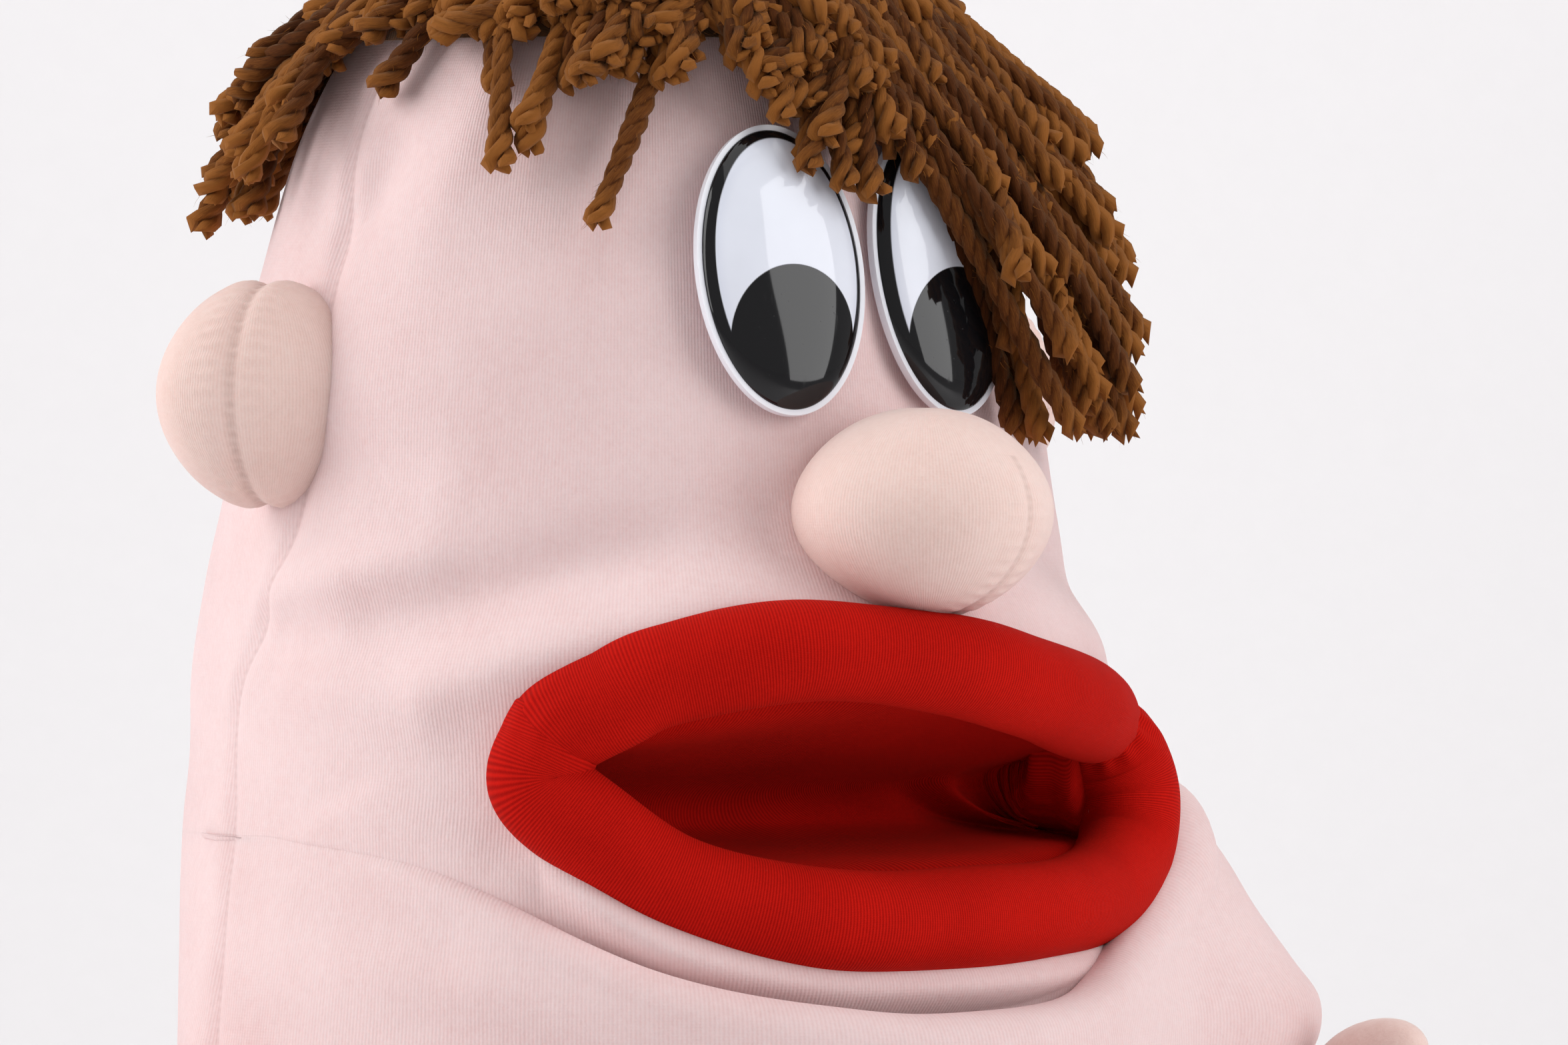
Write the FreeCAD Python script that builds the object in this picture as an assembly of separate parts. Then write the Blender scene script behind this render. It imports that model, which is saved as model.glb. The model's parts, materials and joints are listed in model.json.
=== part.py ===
import FreeCAD, Part
import math
import os

# Moving mouth hand puppet. Millimetres, +Z up, the face looks along -Y, the puppet's left is +X.
# Origin: centre of the forearm opening, on the plane that the hem stands on.

V = FreeCAD.Vector

# ---------------------------------------------------------------- driving dimensions
COVER = 3.0  # velour cover with its backing
GAP = 0.4  # air left between a cover and what fills it

# Body sections from the hem up: height, half width, reach to the front, reach to the back
TORSO = [(0, 114, 104, 92), (70, 121, 116, 95), (140, 126, 128, 97), (205, 128, 136, 97),
         (250, 124, 139, 102)]
THROAT = [(204, 128, 136, 97), (250, 124, 139, 102), (285, 119, 132, 112), (300, 117, 126, 117)]
CHEST_TOP = 205  # the firm body ends here in front, to leave room for the chin
SHOULDER_TOP = 246  # and here behind CHEST_BACK
CHEST_BACK = -18
HEAD = [(302, 113, 112, 121), (322, 113, 112, 120), (344, 112, 111, 117), (362, 111, 107, 111),
        (384, 109, 98, 105), (417, 105, 92, 96), (442, 99, 89, 91), (480, 87, 78, 80),
        (512, 68, 61, 63), (536, 46, 42, 44), (546, 24, 22, 25)]
THROAT_FRONT_TOP = 254  # the throat cloth passes under the chin here
FOREARM_R = 50  # sleeve cuff bore
CUFF_WALL = 4
CUFF_HEIGHT = 30
NECK_Z = (213, 243)
NECK_Y = 18
NECK_HALF = (66, 44)
NECK_HOLE = (52, 34)

LIP_R = 12.5  # stuffed lip roll
LIP_COVER = 1.5
LIP_CORNER = (90, -73, 337)  # where both rolls meet at each side
UPPER_LIP_FRONT = (-122, 349)
LOWER_LIP_FRONT = (-114, 281)
LOWER_LIP_SHOULDER = (80, -92, 294)
LOWER_LIP_END = (91, -73, 313)

EYE_X, EYE_Z = 24.5, 442
EYE_HALF = (21.8, 35.0)  # black moulding
EYE_PLATE_RIM = 1.4
EYE_DOME = 6.5
EYE_SPLAY = 9  # each eye looks this much outwards, degrees
EYE_LEAN = 11  # and this much upwards
PUPIL_R = 17

NOSE_AT, NOSE_HALF = (0, -114, 383), (32.5, 31, 25.5)
EAR_AT, EAR_HALF, EAR_SWEEP = (112, 5, 412), (29, 16, 28), 12

SHOULDER = (154, -4, 231)
ARM_R, WRIST_R, ARM_LENGTH = 24, 17, 78
PALM_HALF = (15, 26, 36)
LEFT_ARM_RAISED = 80  # degrees forward from hanging


# ---------------------------------------------------------------- shapes
def section(z, a, f, g):
    """Closed outline: half an ellipse to the front joined to half an ellipse to the back."""

    def half(reach, sign):
        arc = Part.Arc(V(a, 0, z), V(0, sign * a, z), V(-a, 0, z)).toShape()
        scale = FreeCAD.Matrix()
        scale.scale(1, reach / a, 1)
        return arc.transformGeometry(scale)

    return Part.Wire([half(g, 1), half(f, -1)])


def loft(rows):
    return Part.makeLoft([section(*row) for row in rows], True, False)


def grown(rows, by, lift=0):
    """The same outlines, larger all round, with the top of a closing dome lifted."""
    return [(z + lift, a + by, f + by, g + by) for z, a, f, g in rows]


def box(low, high):
    return Part.makeBox(high[0] - low[0], high[1] - low[1], high[2] - low[2], V(*low))


def slab(z0, z1, y0=-200, y1=200):
    """Everything between two heights, and between two depths if given."""
    return box((-200, y0, z0), (200, y1, z1))


def ellipsoid(at, half):
    shape = Part.makeSphere(half[0])
    m = FreeCAD.Matrix()
    m.scale(1, half[1] / half[0], half[2] / half[0])
    shape = shape.transformGeometry(m)
    shape.translate(V(*at))
    return shape


def turned(shape, at, axis, degrees):
    copy = shape.copy()
    copy.rotate(V(*at), V(*axis), degrees)
    return copy


def mirrored(shape):
    return shape.mirror(V(0, 0, 0), V(1, 0, 0))


def bars(profile, half_width):
    """A flat profile in the YZ plane carried from side to side."""
    points = [V(-half_width, y, z) for y, z in profile]
    face = Part.Face(Part.makePolygon(points + points[:1]))
    return face.extrude(V(2 * half_width, 0, 0))


def oval_prism(a, b, z0, z1, at=(0, 0)):
    edge = Part.Ellipse(V(at[0], at[1], z0), a, b).toShape()
    return Part.Face(Part.Wire([edge])).extrude(V(0, 0, z1 - z0))


def tube(path, radius):
    """A round bar along a wire."""
    start = path.OrderedVertexes[0].Point
    tangent = path.OrderedEdges[0].tangentAt(path.OrderedEdges[0].FirstParameter)
    ring = Part.Wire([Part.makeCircle(radius, start, tangent)])
    return path.makePipeShell([ring], True, False)


def front_depth(rows, z, x):
    """Y of the lofted body's front surface at a height and a distance from the middle."""
    below = max((row for row in rows if row[0] <= z), key=lambda row: row[0])
    above = min((row for row in rows if row[0] > z), key=lambda row: row[0])
    t = (z - below[0]) / (above[0] - below[0])
    a = below[1] + t * (above[1] - below[1])
    f = below[2] + t * (above[2] - below[2])
    return -f * math.sqrt(1 - (x / a) ** 2)


def largest(shape):
    """The main solid of a cut result."""
    return max(shape.Solids, key=lambda solid: solid.Volume)


parts = {}

# ---------------------------------------------------------------- lip rolls
corner = V(*LIP_CORNER)
upper_front = V(0, *UPPER_LIP_FRONT)
full_arc = Part.Arc(corner, upper_front, V(-corner.x, corner.y, corner.z))
UPPER_ARC_TRIM = 0.2  # share of the arc at each corner that squashes as the mouth shuts


def upper_lip_path(start=UPPER_ARC_TRIM, stop=1 - UPPER_ARC_TRIM):
    first, last = full_arc.FirstParameter, full_arc.LastParameter
    points = [full_arc.value(first + (last - first) * t) for t in (start, (start + stop) / 2, stop)]
    return Part.Wire([Part.Arc(*points).toShape()])


def lower_lip_path():
    right = V(*LOWER_LIP_SHOULDER)
    left = V(-right.x, right.y, right.z)
    front = V(0, *LOWER_LIP_FRONT)
    middle = Part.Arc(right, front, left)
    tangent = middle.tangent(middle.FirstParameter)[0] * -1
    end = V(*LOWER_LIP_END)
    chord = end - right
    # an arc that leaves the front arc along its tangent and ends at the corner side
    normal_part = chord - tangent * chord.dot(tangent)
    radius = chord.Length ** 2 / (2 * normal_part.Length)
    centre = right + normal_part.normalize() * radius
    half_way = ((right - centre) + (end - centre)).normalize() * radius + centre
    side = Part.Arc(end, half_way, right)
    other = Part.Arc(left, V(-half_way.x, half_way.y, half_way.z), V(-end.x, end.y, end.z))
    return Part.Wire([side.toShape(), middle.toShape(), other.toShape()])


for name, path in (("upper", upper_lip_path()), ("lower", lower_lip_path())):
    inner = LIP_R - LIP_COVER
    parts[f"{name}_lip_cover"] = tube(path, LIP_R).cut(tube(path, inner))
    parts[f"{name}_lip_filling"] = tube(path, inner - GAP)
lip_corner = tube(upper_lip_path(0.02, UPPER_ARC_TRIM - 0.002), LIP_R)
if lip_corner.BoundBox.Center.x < 0:
    lip_corner = mirrored(lip_corner)
parts["lip_corner_left"] = lip_corner
parts["lip_corner_right"] = mirrored(lip_corner)
upper_roll_space = tube(upper_lip_path(0.0, 1.0), LIP_R + 1.0)

# ---------------------------------------------------------------- head
head_outer = loft(HEAD)
head_inner = loft(grown(HEAD, -COVER, -COVER))
inside = loft(grown(HEAD, -COVER - GAP, -COVER - GAP))
BELOW_MOUTH = box((-140, -150, 290), (140, -20, 352))
head_shell = head_outer.cut(head_inner)
head_shell = head_shell.cut(BELOW_MOUTH).cut(upper_roll_space)
head_shell = head_shell.cut(slab(280, 302))


def eye_place(shape):
    """Carries a part built round the eye's own axis (+Z out of the eye) to the puppet's left eye."""
    depth = front_depth(HEAD, EYE_Z, EYE_X) - 1.1
    shape = turned(shape, (0, 0, 0), (1, 0, 0), 90)
    shape = turned(shape, (0, 0, 0), (1, 0, 0), -EYE_LEAN)
    shape = turned(shape, (0, 0, 0), (0, 0, 1), EYE_SPLAY)
    shape.translate(V(EYE_X, depth, EYE_Z))
    return shape


def half_dome(a, b, height):
    return ellipsoid((0, 0, 0), (a, b, height)).common(box((-60, -60, 0), (60, 60, 30)))


SHANK_R, SHANK_LENGTH = 3.0, 13.0
WASHER_R, WASHER_T, WASHER_AT = 10.0, 2.4, 7.4
PLATE_T = 2.0
FRAME_WALL = 1.7
eye_a, eye_b = EYE_HALF
plate = oval_prism(eye_b + EYE_PLATE_RIM, eye_a + EYE_PLATE_RIM, 0, PLATE_T)
plate = turned(plate, (0, 0, 0), (0, 0, 1), 90)
plate = plate.fuse(Part.makeCylinder(SHANK_R, SHANK_LENGTH, V(0, 0, -SHANK_LENGTH)))
white = half_dome(eye_a - 2.0, eye_b - 2.0, EYE_DOME - 2.2)
hollow = (eye_a - FRAME_WALL, eye_b - FRAME_WALL, EYE_DOME - FRAME_WALL)
black = half_dome(eye_a, eye_b, EYE_DOME).cut(ellipsoid((0, 0, -0.2), hollow))
window = turned(oval_prism(eye_b - 2.8, eye_a - 2.8, -1, 29), (0, 0, 0), (0, 0, 1), 90)
window = window.cut(Part.makeCylinder(PUPIL_R, 40, V(0, -PUPIL_R, -2)))
black = black.cut(window)
for shape in (white, black):
    shape.translate(V(0, 0, PLATE_T))
washer = Part.makeCylinder(WASHER_R, WASHER_T, V(0, 0, -WASHER_AT - WASHER_T))
washer = washer.cut(Part.makeCylinder(SHANK_R + 0.1, 20, V(0, 0, -18)))
shank_hole = Part.makeCylinder(SHANK_R + 0.5, 40, V(0, 0, -30))
washer_room = Part.makeCylinder(WASHER_R + 1.5, 12, V(0, 0, -SHANK_LENGTH - 2.5))
eyes = {"plate": plate, "white": largest(white), "frame": largest(black), "washer": washer}
for name, shape in eyes.items():
    placed = eye_place(shape)
    placed.fix(0.001, 0.001, 0.01)
    parts[f"eye_left_{name}"] = placed
    parts[f"eye_right_{name}"] = mirrored(placed)
holes = eye_place(shank_hole)
rooms = eye_place(washer_room)
head_shell = head_shell.cut(holes).cut(mirrored(holes))

FRONT_HALF = slab(0, 600, y1=0)
BACK_HALF = slab(0, 600, y0=0)
parts["head_cover_front"] = largest(head_shell.common(FRONT_HALF))
parts["head_cover_back"] = largest(head_shell.common(BACK_HALF))

HAND_SPACE = [(280, 84, 70, 84), (360, 80, 66, 76), (400, 62, 56, 60), (440, 40, 36, 38)]
POCKET_ROOM = box((-104, -160, 280), (104, 10, 374))
filling = inside.cut(loft(HAND_SPACE)).cut(POCKET_ROOM).cut(BELOW_MOUTH)
filling = filling.cut(slab(280, 303))
for room in (holes, mirrored(holes), rooms, mirrored(rooms)):
    filling = filling.cut(room)
SPLIT_GAP = 0.2  # each filling half stands this far off the split
FRONT_OF_SPLIT = slab(0, 600, y1=-SPLIT_GAP)
BACK_OF_SPLIT = slab(0, 600, y0=SPLIT_GAP)
parts["head_filling_front"] = largest(filling.common(FRONT_OF_SPLIT))
parts["head_filling_back"] = largest(filling.common(BACK_OF_SPLIT))

# nose and ears: stuffed balls that end on the head's surface
head_keepout = loft(grown(HEAD, 0.4, 0.2))


def stuffed(name, solid, inner, keepouts):
    for keepout in keepouts:
        solid = solid.cut(keepout)
        inner = inner.cut(keepout)
    parts[f"{name}_cover"] = largest(solid.cut(inner))
    parts[f"{name}_filling"] = inner


def shrunk(half, by):
    return tuple(h - by for h in half)


stuffed("nose", ellipsoid(NOSE_AT, NOSE_HALF), ellipsoid(NOSE_AT, shrunk(NOSE_HALF, 2)),
        (head_keepout, upper_roll_space))
outer_ear = turned(ellipsoid(EAR_AT, EAR_HALF), EAR_AT, (0, 0, 1), EAR_SWEEP)
inner_ear = turned(ellipsoid(EAR_AT, shrunk(EAR_HALF, 2)), EAR_AT, (0, 0, 1), EAR_SWEEP)
stuffed("ear_left", outer_ear, inner_ear, (head_keepout,))
for piece in ("cover", "filling"):
    parts[f"ear_right_{piece}"] = mirrored(parts[f"ear_left_{piece}"])

# ---------------------------------------------------------------- hair
CAP_FROM = 500
HAIR_CLEAR = 2.6
HAIR_DEPTH = 16
cap = loft(grown(HEAD, 2.2, 2.2)).cut(loft(grown(HEAD, 0.4, 0.4)))
parts["wig_cap"] = largest(cap.common(box((-150, -150, CAP_FROM), (150, 150, 600))))
hair_inner = loft(grown(HEAD[3:], HAIR_CLEAR, HAIR_CLEAR))
hair_mass = loft(grown(HEAD[3:], HAIR_DEPTH, 15)).cut(hair_inner)
CROWN_FROM = 506
HAIR = {
    "hair_crown": ((-150, -150, CROWN_FROM), (150, 150, 600)),
    "hair_fringe": ((-68, -150, 484), (48, -12, CROWN_FROM - 0.3)),
    "hair_left": ((49, -150, 408), (150, -16, CROWN_FROM - 0.3)),
    "hair_right": ((-150, -150, 466), (-69, -12, CROWN_FROM - 0.3)),
    "hair_back": ((-150, 24, 452), (150, 170, CROWN_FROM - 0.3)),
}
for name, (low, high) in HAIR.items():
    parts[name] = largest(hair_mass.common(box(low, high)))

# ---------------------------------------------------------------- inside the mouth
PALATE_SLOPE = math.radians(15)
PALATE_BACK = (-44, 321)
PALATE_DEPTH = 62
LINING = 1.2
PAD = 4.0
POCKET_HALF_WIDTH = 46
POCKET_HEIGHT = 25
POCKET_WALL = 1.5


def palate_point(forward, up):
    """A point of the sloping palate frame: forward along it, and up away from it."""
    c, s = math.cos(PALATE_SLOPE), math.sin(PALATE_SLOPE)
    return (PALATE_BACK[0] - forward * c + up * s, PALATE_BACK[1] + forward * s + up * c)


def sloped(forward0, forward1, up0, up1, half_width):
    corners = ((forward0, up0), (forward1, up0), (forward1, up1), (forward0, up1))
    return bars([palate_point(*corner_at) for corner_at in corners], half_width)


def mouth_plan(a, b):
    return oval_prism(a, b, 270, 360, (0, PALATE_BACK[0]))


parts["palate_lining"] = sloped(0, PALATE_DEPTH, 0, LINING, 84).common(mouth_plan(80, 62))
pad_up = LINING + 0.2
parts["palate_pad"] = sloped(2, PALATE_DEPTH - 8, pad_up, pad_up + PAD, 70).common(mouth_plan(74, 56))
pocket_up = pad_up + PAD + 0.2
POCKET_FRONT = 50
pocket = sloped(4, POCKET_FRONT, pocket_up, pocket_up + POCKET_HEIGHT, POCKET_HALF_WIDTH)
pocket_space = sloped(-10, POCKET_FRONT - POCKET_WALL, pocket_up + POCKET_WALL,
                      pocket_up + POCKET_HEIGHT - POCKET_WALL, POCKET_HALF_WIDTH - POCKET_WALL)
parts["finger_pocket"] = pocket.cut(pocket_space)

JAW_BACK = (-46, 297)
JAW_FRONT = (-100, 290)
jaw_line = [JAW_FRONT, JAW_BACK]
jaw_lining = bars(jaw_line + [(y, z + LINING) for y, z in reversed(jaw_line)], 84)
parts["jaw_lining"] = jaw_lining.common(mouth_plan(74, 55))
JAW_PAD_Z = 284.5
jaw_pad = bars([(-97, JAW_PAD_Z), (-48, JAW_PAD_Z), (-48, 296.4), (-97, 290.1)], 58)
parts["jaw_pad"] = jaw_pad.common(mouth_plan(70, 50))
thumb_low, thumb_high = (-24, -95, 264), (24, -50, JAW_PAD_Z - 0.3)
thumb_space = box([low + POCKET_WALL for low in thumb_low],
                  (thumb_high[0] - POCKET_WALL, -40, thumb_high[2] - POCKET_WALL))
parts["thumb_pocket"] = box(thumb_low, thumb_high).cut(thumb_space)
parts["mouth_fold_lining"] = box((-72, -43.4, 298.5), (72, -42.2, 320.3))

chin_rows = [(254, 62, 88, 60), (260, 78, 104, 60), (267, 86, 110, 60)]
chin = loft(chin_rows).cut(loft([(256.5, 59, 85, 57), (260, 75, 101, 57), (268, 83.5, 107.5, 57)]))
parts["chin_cover"] = largest(chin.common(box((-120, -150, 250), (120, -54, 270))))
cheek = loft(HEAD[:5]).cut(loft(grown(HEAD[:5], -COVER, 0)))
cheek = cheek.common(box((60, -56, 303), (130, -20.5, 351.5)))
parts["cheek_cover_left"] = largest(cheek)
parts["cheek_cover_right"] = mirrored(parts["cheek_cover_left"])

# ---------------------------------------------------------------- neck
neck = oval_prism(*NECK_HALF, *NECK_Z, (0, NECK_Y))
parts["neck_padding"] = neck.cut(oval_prism(*NECK_HOLE, 200, 260, (0, NECK_Y)))
throat = loft(THROAT).cut(loft(grown(THROAT, -COVER)))
throat = throat.cut(slab(THROAT_FRONT_TOP, 320, y1=-50))
throat = throat.cut(slab(190, CHEST_TOP + GAP))
throat = throat.cut(slab(190, SHOULDER_TOP + GAP, y0=CHEST_BACK - GAP))
parts["throat_cover"] = largest(throat)

# ---------------------------------------------------------------- body
torso_shell = loft(TORSO).cut(loft(grown(TORSO, -COVER)))
torso_shell = torso_shell.cut(slab(CHEST_TOP, 300, y1=CHEST_BACK)).cut(slab(SHOULDER_TOP, 300))
parts["torso_cover_front"] = torso_shell.common(FRONT_HALF)
parts["torso_cover_back"] = torso_shell.common(BACK_HALF)
PADDING = 11
BASE_T = 3
padding = loft(grown(TORSO, -COVER - GAP)).cut(loft(grown(TORSO, -COVER - GAP - PADDING)))
padding = padding.common(slab(BASE_T + 1, CHEST_TOP - 1))
parts["torso_padding_front"] = padding.common(FRONT_OF_SPLIT)
parts["torso_padding_back"] = padding.common(BACK_OF_SPLIT)
base = loft(grown(TORSO, -COVER - GAP)).common(slab(0, BASE_T))
parts["base_panel"] = base.cut(Part.makeCylinder(FOREARM_R + CUFF_WALL + 0.2, 10))
cuff = Part.makeCylinder(FOREARM_R + CUFF_WALL, CUFF_HEIGHT)
parts["sleeve_cuff"] = cuff.cut(Part.makeCylinder(FOREARM_R, CUFF_HEIGHT))
HEM_HEIGHT = 14
hem = loft(grown(TORSO, 1.6)).cut(loft(grown(TORSO, 0.2)))
parts["hem_band"] = hem.common(slab(0, HEM_HEIGHT))


def sleeve_rows(by):
    return [(CUFF_HEIGHT + 0.3, 53 + by, 53 + by, 53 + by), (120, 56 + by, 44 + by, 54 + by),
            (203, 58 + by, 20 + by, 58 + by)]


parts["hand_sleeve"] = loft(sleeve_rows(0)).cut(loft(sleeve_rows(-1.2)))

# ---------------------------------------------------------------- arms, built hanging at the left side
STUB_R = 13
STUB_FROM = 128.8  # just outside the body's side
ARM_CLOTH = 2
shoulder_x, shoulder_y, shoulder_z = SHOULDER
wrist_z = shoulder_z - ARM_LENGTH


def arm_solid(by):
    """Tapered round bar that hangs from a ball at the shoulder."""
    ball = Part.makeSphere(ARM_R - by, V(*SHOULDER))
    cone = Part.makeCone(WRIST_R - by, ARM_R - by, ARM_LENGTH, V(shoulder_x, shoulder_y, wrist_z))
    return ball.fuse(cone).removeSplitter()


def above_wrist(z):
    """Room of the arm's tube, which the hand is cut off against."""
    return box((shoulder_x - 60, shoulder_y - 60, z), (shoulder_x + 60, shoulder_y + 60, shoulder_z))


stub = Part.makeCylinder(STUB_R, shoulder_x - STUB_FROM, V(STUB_FROM, shoulder_y, shoulder_z), V(1, 0, 0))
arm_cover = arm_solid(0).fuse(stub).cut(arm_solid(ARM_CLOTH)).removeSplitter()
palm_at = (shoulder_x, shoulder_y - 4, wrist_z - PALM_HALF[2] + 6)
thumb_at = (shoulder_x, shoulder_y - 28, wrist_z - 18)
hand = ellipsoid(palm_at, PALM_HALF)
hand = hand.fuse(turned(ellipsoid(thumb_at, (10, 11, 21)), thumb_at, (1, 0, 0), -28))
hand = hand.cut(above_wrist(wrist_z - 0.3))
hand_fill = ellipsoid(palm_at, shrunk(PALM_HALF, ARM_CLOTH)).cut(above_wrist(wrist_z - 0.5))
arm = {"arm_cover": arm_cover, "arm_filling": arm_solid(ARM_CLOTH + GAP / 2),
       "hand_cover": hand.cut(hand_fill), "hand_filling": hand_fill}
for name, shape in arm.items():
    limb, piece = name.split("_")
    parts[f"{limb}_right_{piece}"] = mirrored(shape)
    parts[f"{limb}_left_{piece}"] = turned(shape, SHOULDER, (1, 0, 0), -LEFT_ARM_RAISED)

# ---------------------------------------------------------------- export
os.makedirs("parts", exist_ok=True)
for name, shape in sorted(parts.items()):
    solids = shape.Solids
    valid = all(solid.isValid() for solid in solids)
    print(name, len(solids), "valid" if valid else "NOT VALID", round(shape.Volume))
    shape.exportStep(f"parts/{name}.step")
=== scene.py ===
"""Moving mouth puppet: its covers, stuffed rolls, eyes, yarn and stage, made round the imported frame.

Lengths in the formulas are millimetres in the puppet's own frame: +Z up, the face looks along -Y
and the puppet's left is +X. Azimuths are degrees from the front (-Y) towards +X.
"""

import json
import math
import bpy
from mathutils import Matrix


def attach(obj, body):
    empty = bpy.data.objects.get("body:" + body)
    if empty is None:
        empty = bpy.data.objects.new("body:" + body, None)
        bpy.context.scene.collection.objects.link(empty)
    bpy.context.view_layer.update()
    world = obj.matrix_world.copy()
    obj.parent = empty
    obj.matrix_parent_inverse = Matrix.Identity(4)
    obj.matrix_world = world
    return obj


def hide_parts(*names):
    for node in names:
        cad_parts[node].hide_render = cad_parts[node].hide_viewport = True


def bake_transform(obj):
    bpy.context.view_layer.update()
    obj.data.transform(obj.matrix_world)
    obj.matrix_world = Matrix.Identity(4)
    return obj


bl_info = {
    "name": "Moving mouth puppet",
    "version": (1, 0, 0),
    "blender": (4, 5, 0),
    "location": "View3D > Sidebar > Puppet",
    "description": "Sews, stuffs and dresses a moving mouth puppet on its frame",
    "category": "Object",
}

import bpy
import numpy as np
from bpy.props import FloatProperty, FloatVectorProperty, IntProperty, PointerProperty
from bpy.types import Operator, Panel, PropertyGroup
from mathutils import Vector

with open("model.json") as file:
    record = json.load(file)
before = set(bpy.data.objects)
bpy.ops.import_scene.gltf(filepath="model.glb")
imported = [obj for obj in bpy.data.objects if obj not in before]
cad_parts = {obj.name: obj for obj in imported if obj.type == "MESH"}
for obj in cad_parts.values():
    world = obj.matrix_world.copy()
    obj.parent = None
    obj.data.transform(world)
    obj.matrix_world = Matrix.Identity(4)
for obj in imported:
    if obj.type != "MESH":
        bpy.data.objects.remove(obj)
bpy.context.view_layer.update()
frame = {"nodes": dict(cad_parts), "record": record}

MM = 0.001

# ------------------------------------------------------------------ the cover's pattern
# height, half width, reach to the front of body and face, reach to the back
SECTIONS = [
    (0, 114, 104, 104, 92), (70, 121, 116, 112, 95), (140, 126, 128, 112, 97),
    (205, 128, 136, 112, 97), (250, 124, 139, 111, 102), (285, 118.5, 132, 112, 113),
    (302, 115, 126, 112, 118.5), (322, 113, 120, 112, 120), (344, 112, 116, 111, 117),
    (362, 111, 112, 107, 111), (384, 109, 105, 98, 105), (417, 105, 98, 92, 96),
    (442, 99, 92, 89, 91), (480, 87, 80, 78, 80), (512, 68, 61, 61, 63),
    (536, 44, 40, 40, 42), (547, 22, 20, 20, 21), (550.5, 0.4, 0.4, 0.4, 0.4),
]
BODY_FRONT, FACE_FRONT = 2, 3
COVER_RADIUS = 113  # for maps that run round the cover, millimetres
PER_DEGREE = 1.95  # millimetres round the cover for one degree
COVER_COLUMNS = 300
BODY_TOP = 215  # body cover and throat cover are sewn together at this height

# centre lines of the two lip rolls, from the puppet's right corner to its left one
UPPER_LIP = [(-86, -75, 325.5), (-83.5, -79.5, 332), (-75.5, -87.5, 338), (-65, -96.5, 344),
             (-37.5, -113.5, 349.5), (0, -122, 346), (30, -117, 340), (56, -103, 335),
             (76, -87, 331.5), (84, -79, 329.5), (88, -73, 327.5)]
LOWER_LIP = [(-83, -78.5, 334.5), (-86, -76.5, 327), (-88, -75, 317), (-79, -82.5, 306.5),
             (-62.5, -94, 293.5), (-38.5, -106.5, 285.5), (-11, -113.5, 283), (37.5, -108, 284),
             (72, -92, 287), (92, -80, 296), (97.5, -76, 309.5), (94, -75, 321),
             (86, -77, 329.5), (80, -78, 334)]
MOUTH_CENTRE = (0, -62, 314)
CORNER_AZIMUTH = 49.4
CORNER_FROM = 42  # from this azimuth to the corner the face's edge leaves the lip for the cheek
BEHIND_LIP = 334  # the face's edge behind the upper roll is nowhere lower
CHEEK_PLANE = (-66, 337, 0.476)  # through this Y and Z, dropping this much per millimetre back

# height of the crease under the chin, by azimuth
CREASE = [(-180, 302), (-130, 302), (-100, 303), (-86, 303), (-64, 297), (-35, 272), (-14, 263),
          (0, 261.5), (20, 265), (39, 280), (52, 297), (64, 314), (80, 314), (96, 306), (120, 302),
          (180, 302)]
# how far the cloth rolls over at that crease, millimetres
CREASE_ROLL = [(-180, 0), (-130, 0), (-112, 0), (-104, 0.3), (-86, 1.8), (-64, 6), (-40, 9), (0, 9),
               (40, 10), (64, 13), (80, 8), (100, 1.8), (110, 0.3), (120, 0), (140, 0), (180, 0)]
ROLL_FROM = 0.04  # where the fold is smaller than this, head and throat are one smooth cover
SIDE_SEAM = [(0, 90), (210, 94), (294, 99), (334, 101), (360, 94), (385, 88), (440, 87), (480, 90),
             (550, 92)]

# soft folds: azimuth and height of each end, width, height of the fold (less than 0 is a valley)
FACE_FOLDS = [
    (-64, 340, -26, 364, 8, 4.4),
    (-72, 356, -36, 374, 9, -4.6),
    (-92, 364, -66, 371, 7, 3.4),
    (-86, 344, -66, 334, 9, 3.2),
    (-97, 352, -78, 350, 8, -2.8),
    (-60, 384, -30, 392, 16, 1.6),
    (-88, 396, -70, 392, 9, -2.2),
    (-86, 452, -80, 470, 8, -3.4),
    (-70, 452, -64, 486, 11, 2.6),
    (-50, 470, -30, 486, 14, -1.4),
    (24, 362, 52, 348, 10, 2.6),
    (30, 374, 60, 362, 10, -2.0),
    (-24, 396, -18, 372, 9, -1.6),
    (20, 396, 17, 372, 9, -1.6),
    (140, 330, 176, 322, 12, 2.2),
    (-170, 312, -128, 322, 11, -2.4),
    (96, 330, 128, 340, 11, 2.0),
    (-140, 400, -112, 380, 16, -1.6),
    (120, 420, 150, 396, 16, -1.8),
]
BODY_FOLDS = [
    (-96, 292, -62, 276, 10, -2.6),
    (-84, 284, -40, 256, 9, 2.2),
    (-60, 262, -20, 244, 12, -2.0),
    (-110, 270, -98, 236, 10, 1.8),
    (-30, 232, 20, 236, 14, 1.6),
    (40, 250, 60, 222, 12, -1.6),
    (-70, 150, -50, 60, 20, -1.8),
    (20, 170, 36, 70, 22, -2.2),
    (-20, 120, -8, 30, 18, 1.8),
    (100, 180, 84, 60, 20, -2.0),
    (-128, 190, -118, 80, 22, -2.2),
    (150, 200, 166, 90, 24, -2.4),
    (-170, 260, -140, 240, 13, 2.0),
    (120, 262, 160, 250, 13, 2.2),
]
# the cloth pushed up over the puppet's left shoulder: how far it stands out, by height
SHOULDER_PUSH = [(0, 0), (190, 0), (215, 4), (232, 34), (244, 50), (257, 54), (268, 48), (282, 40),
                 (296, 34), (306, 28), (316, 18), (328, 7), (345, 0), (600, 0)]
SHOULDER_PUSH_AT = (68, 21)  # azimuth and width round, degrees

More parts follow.
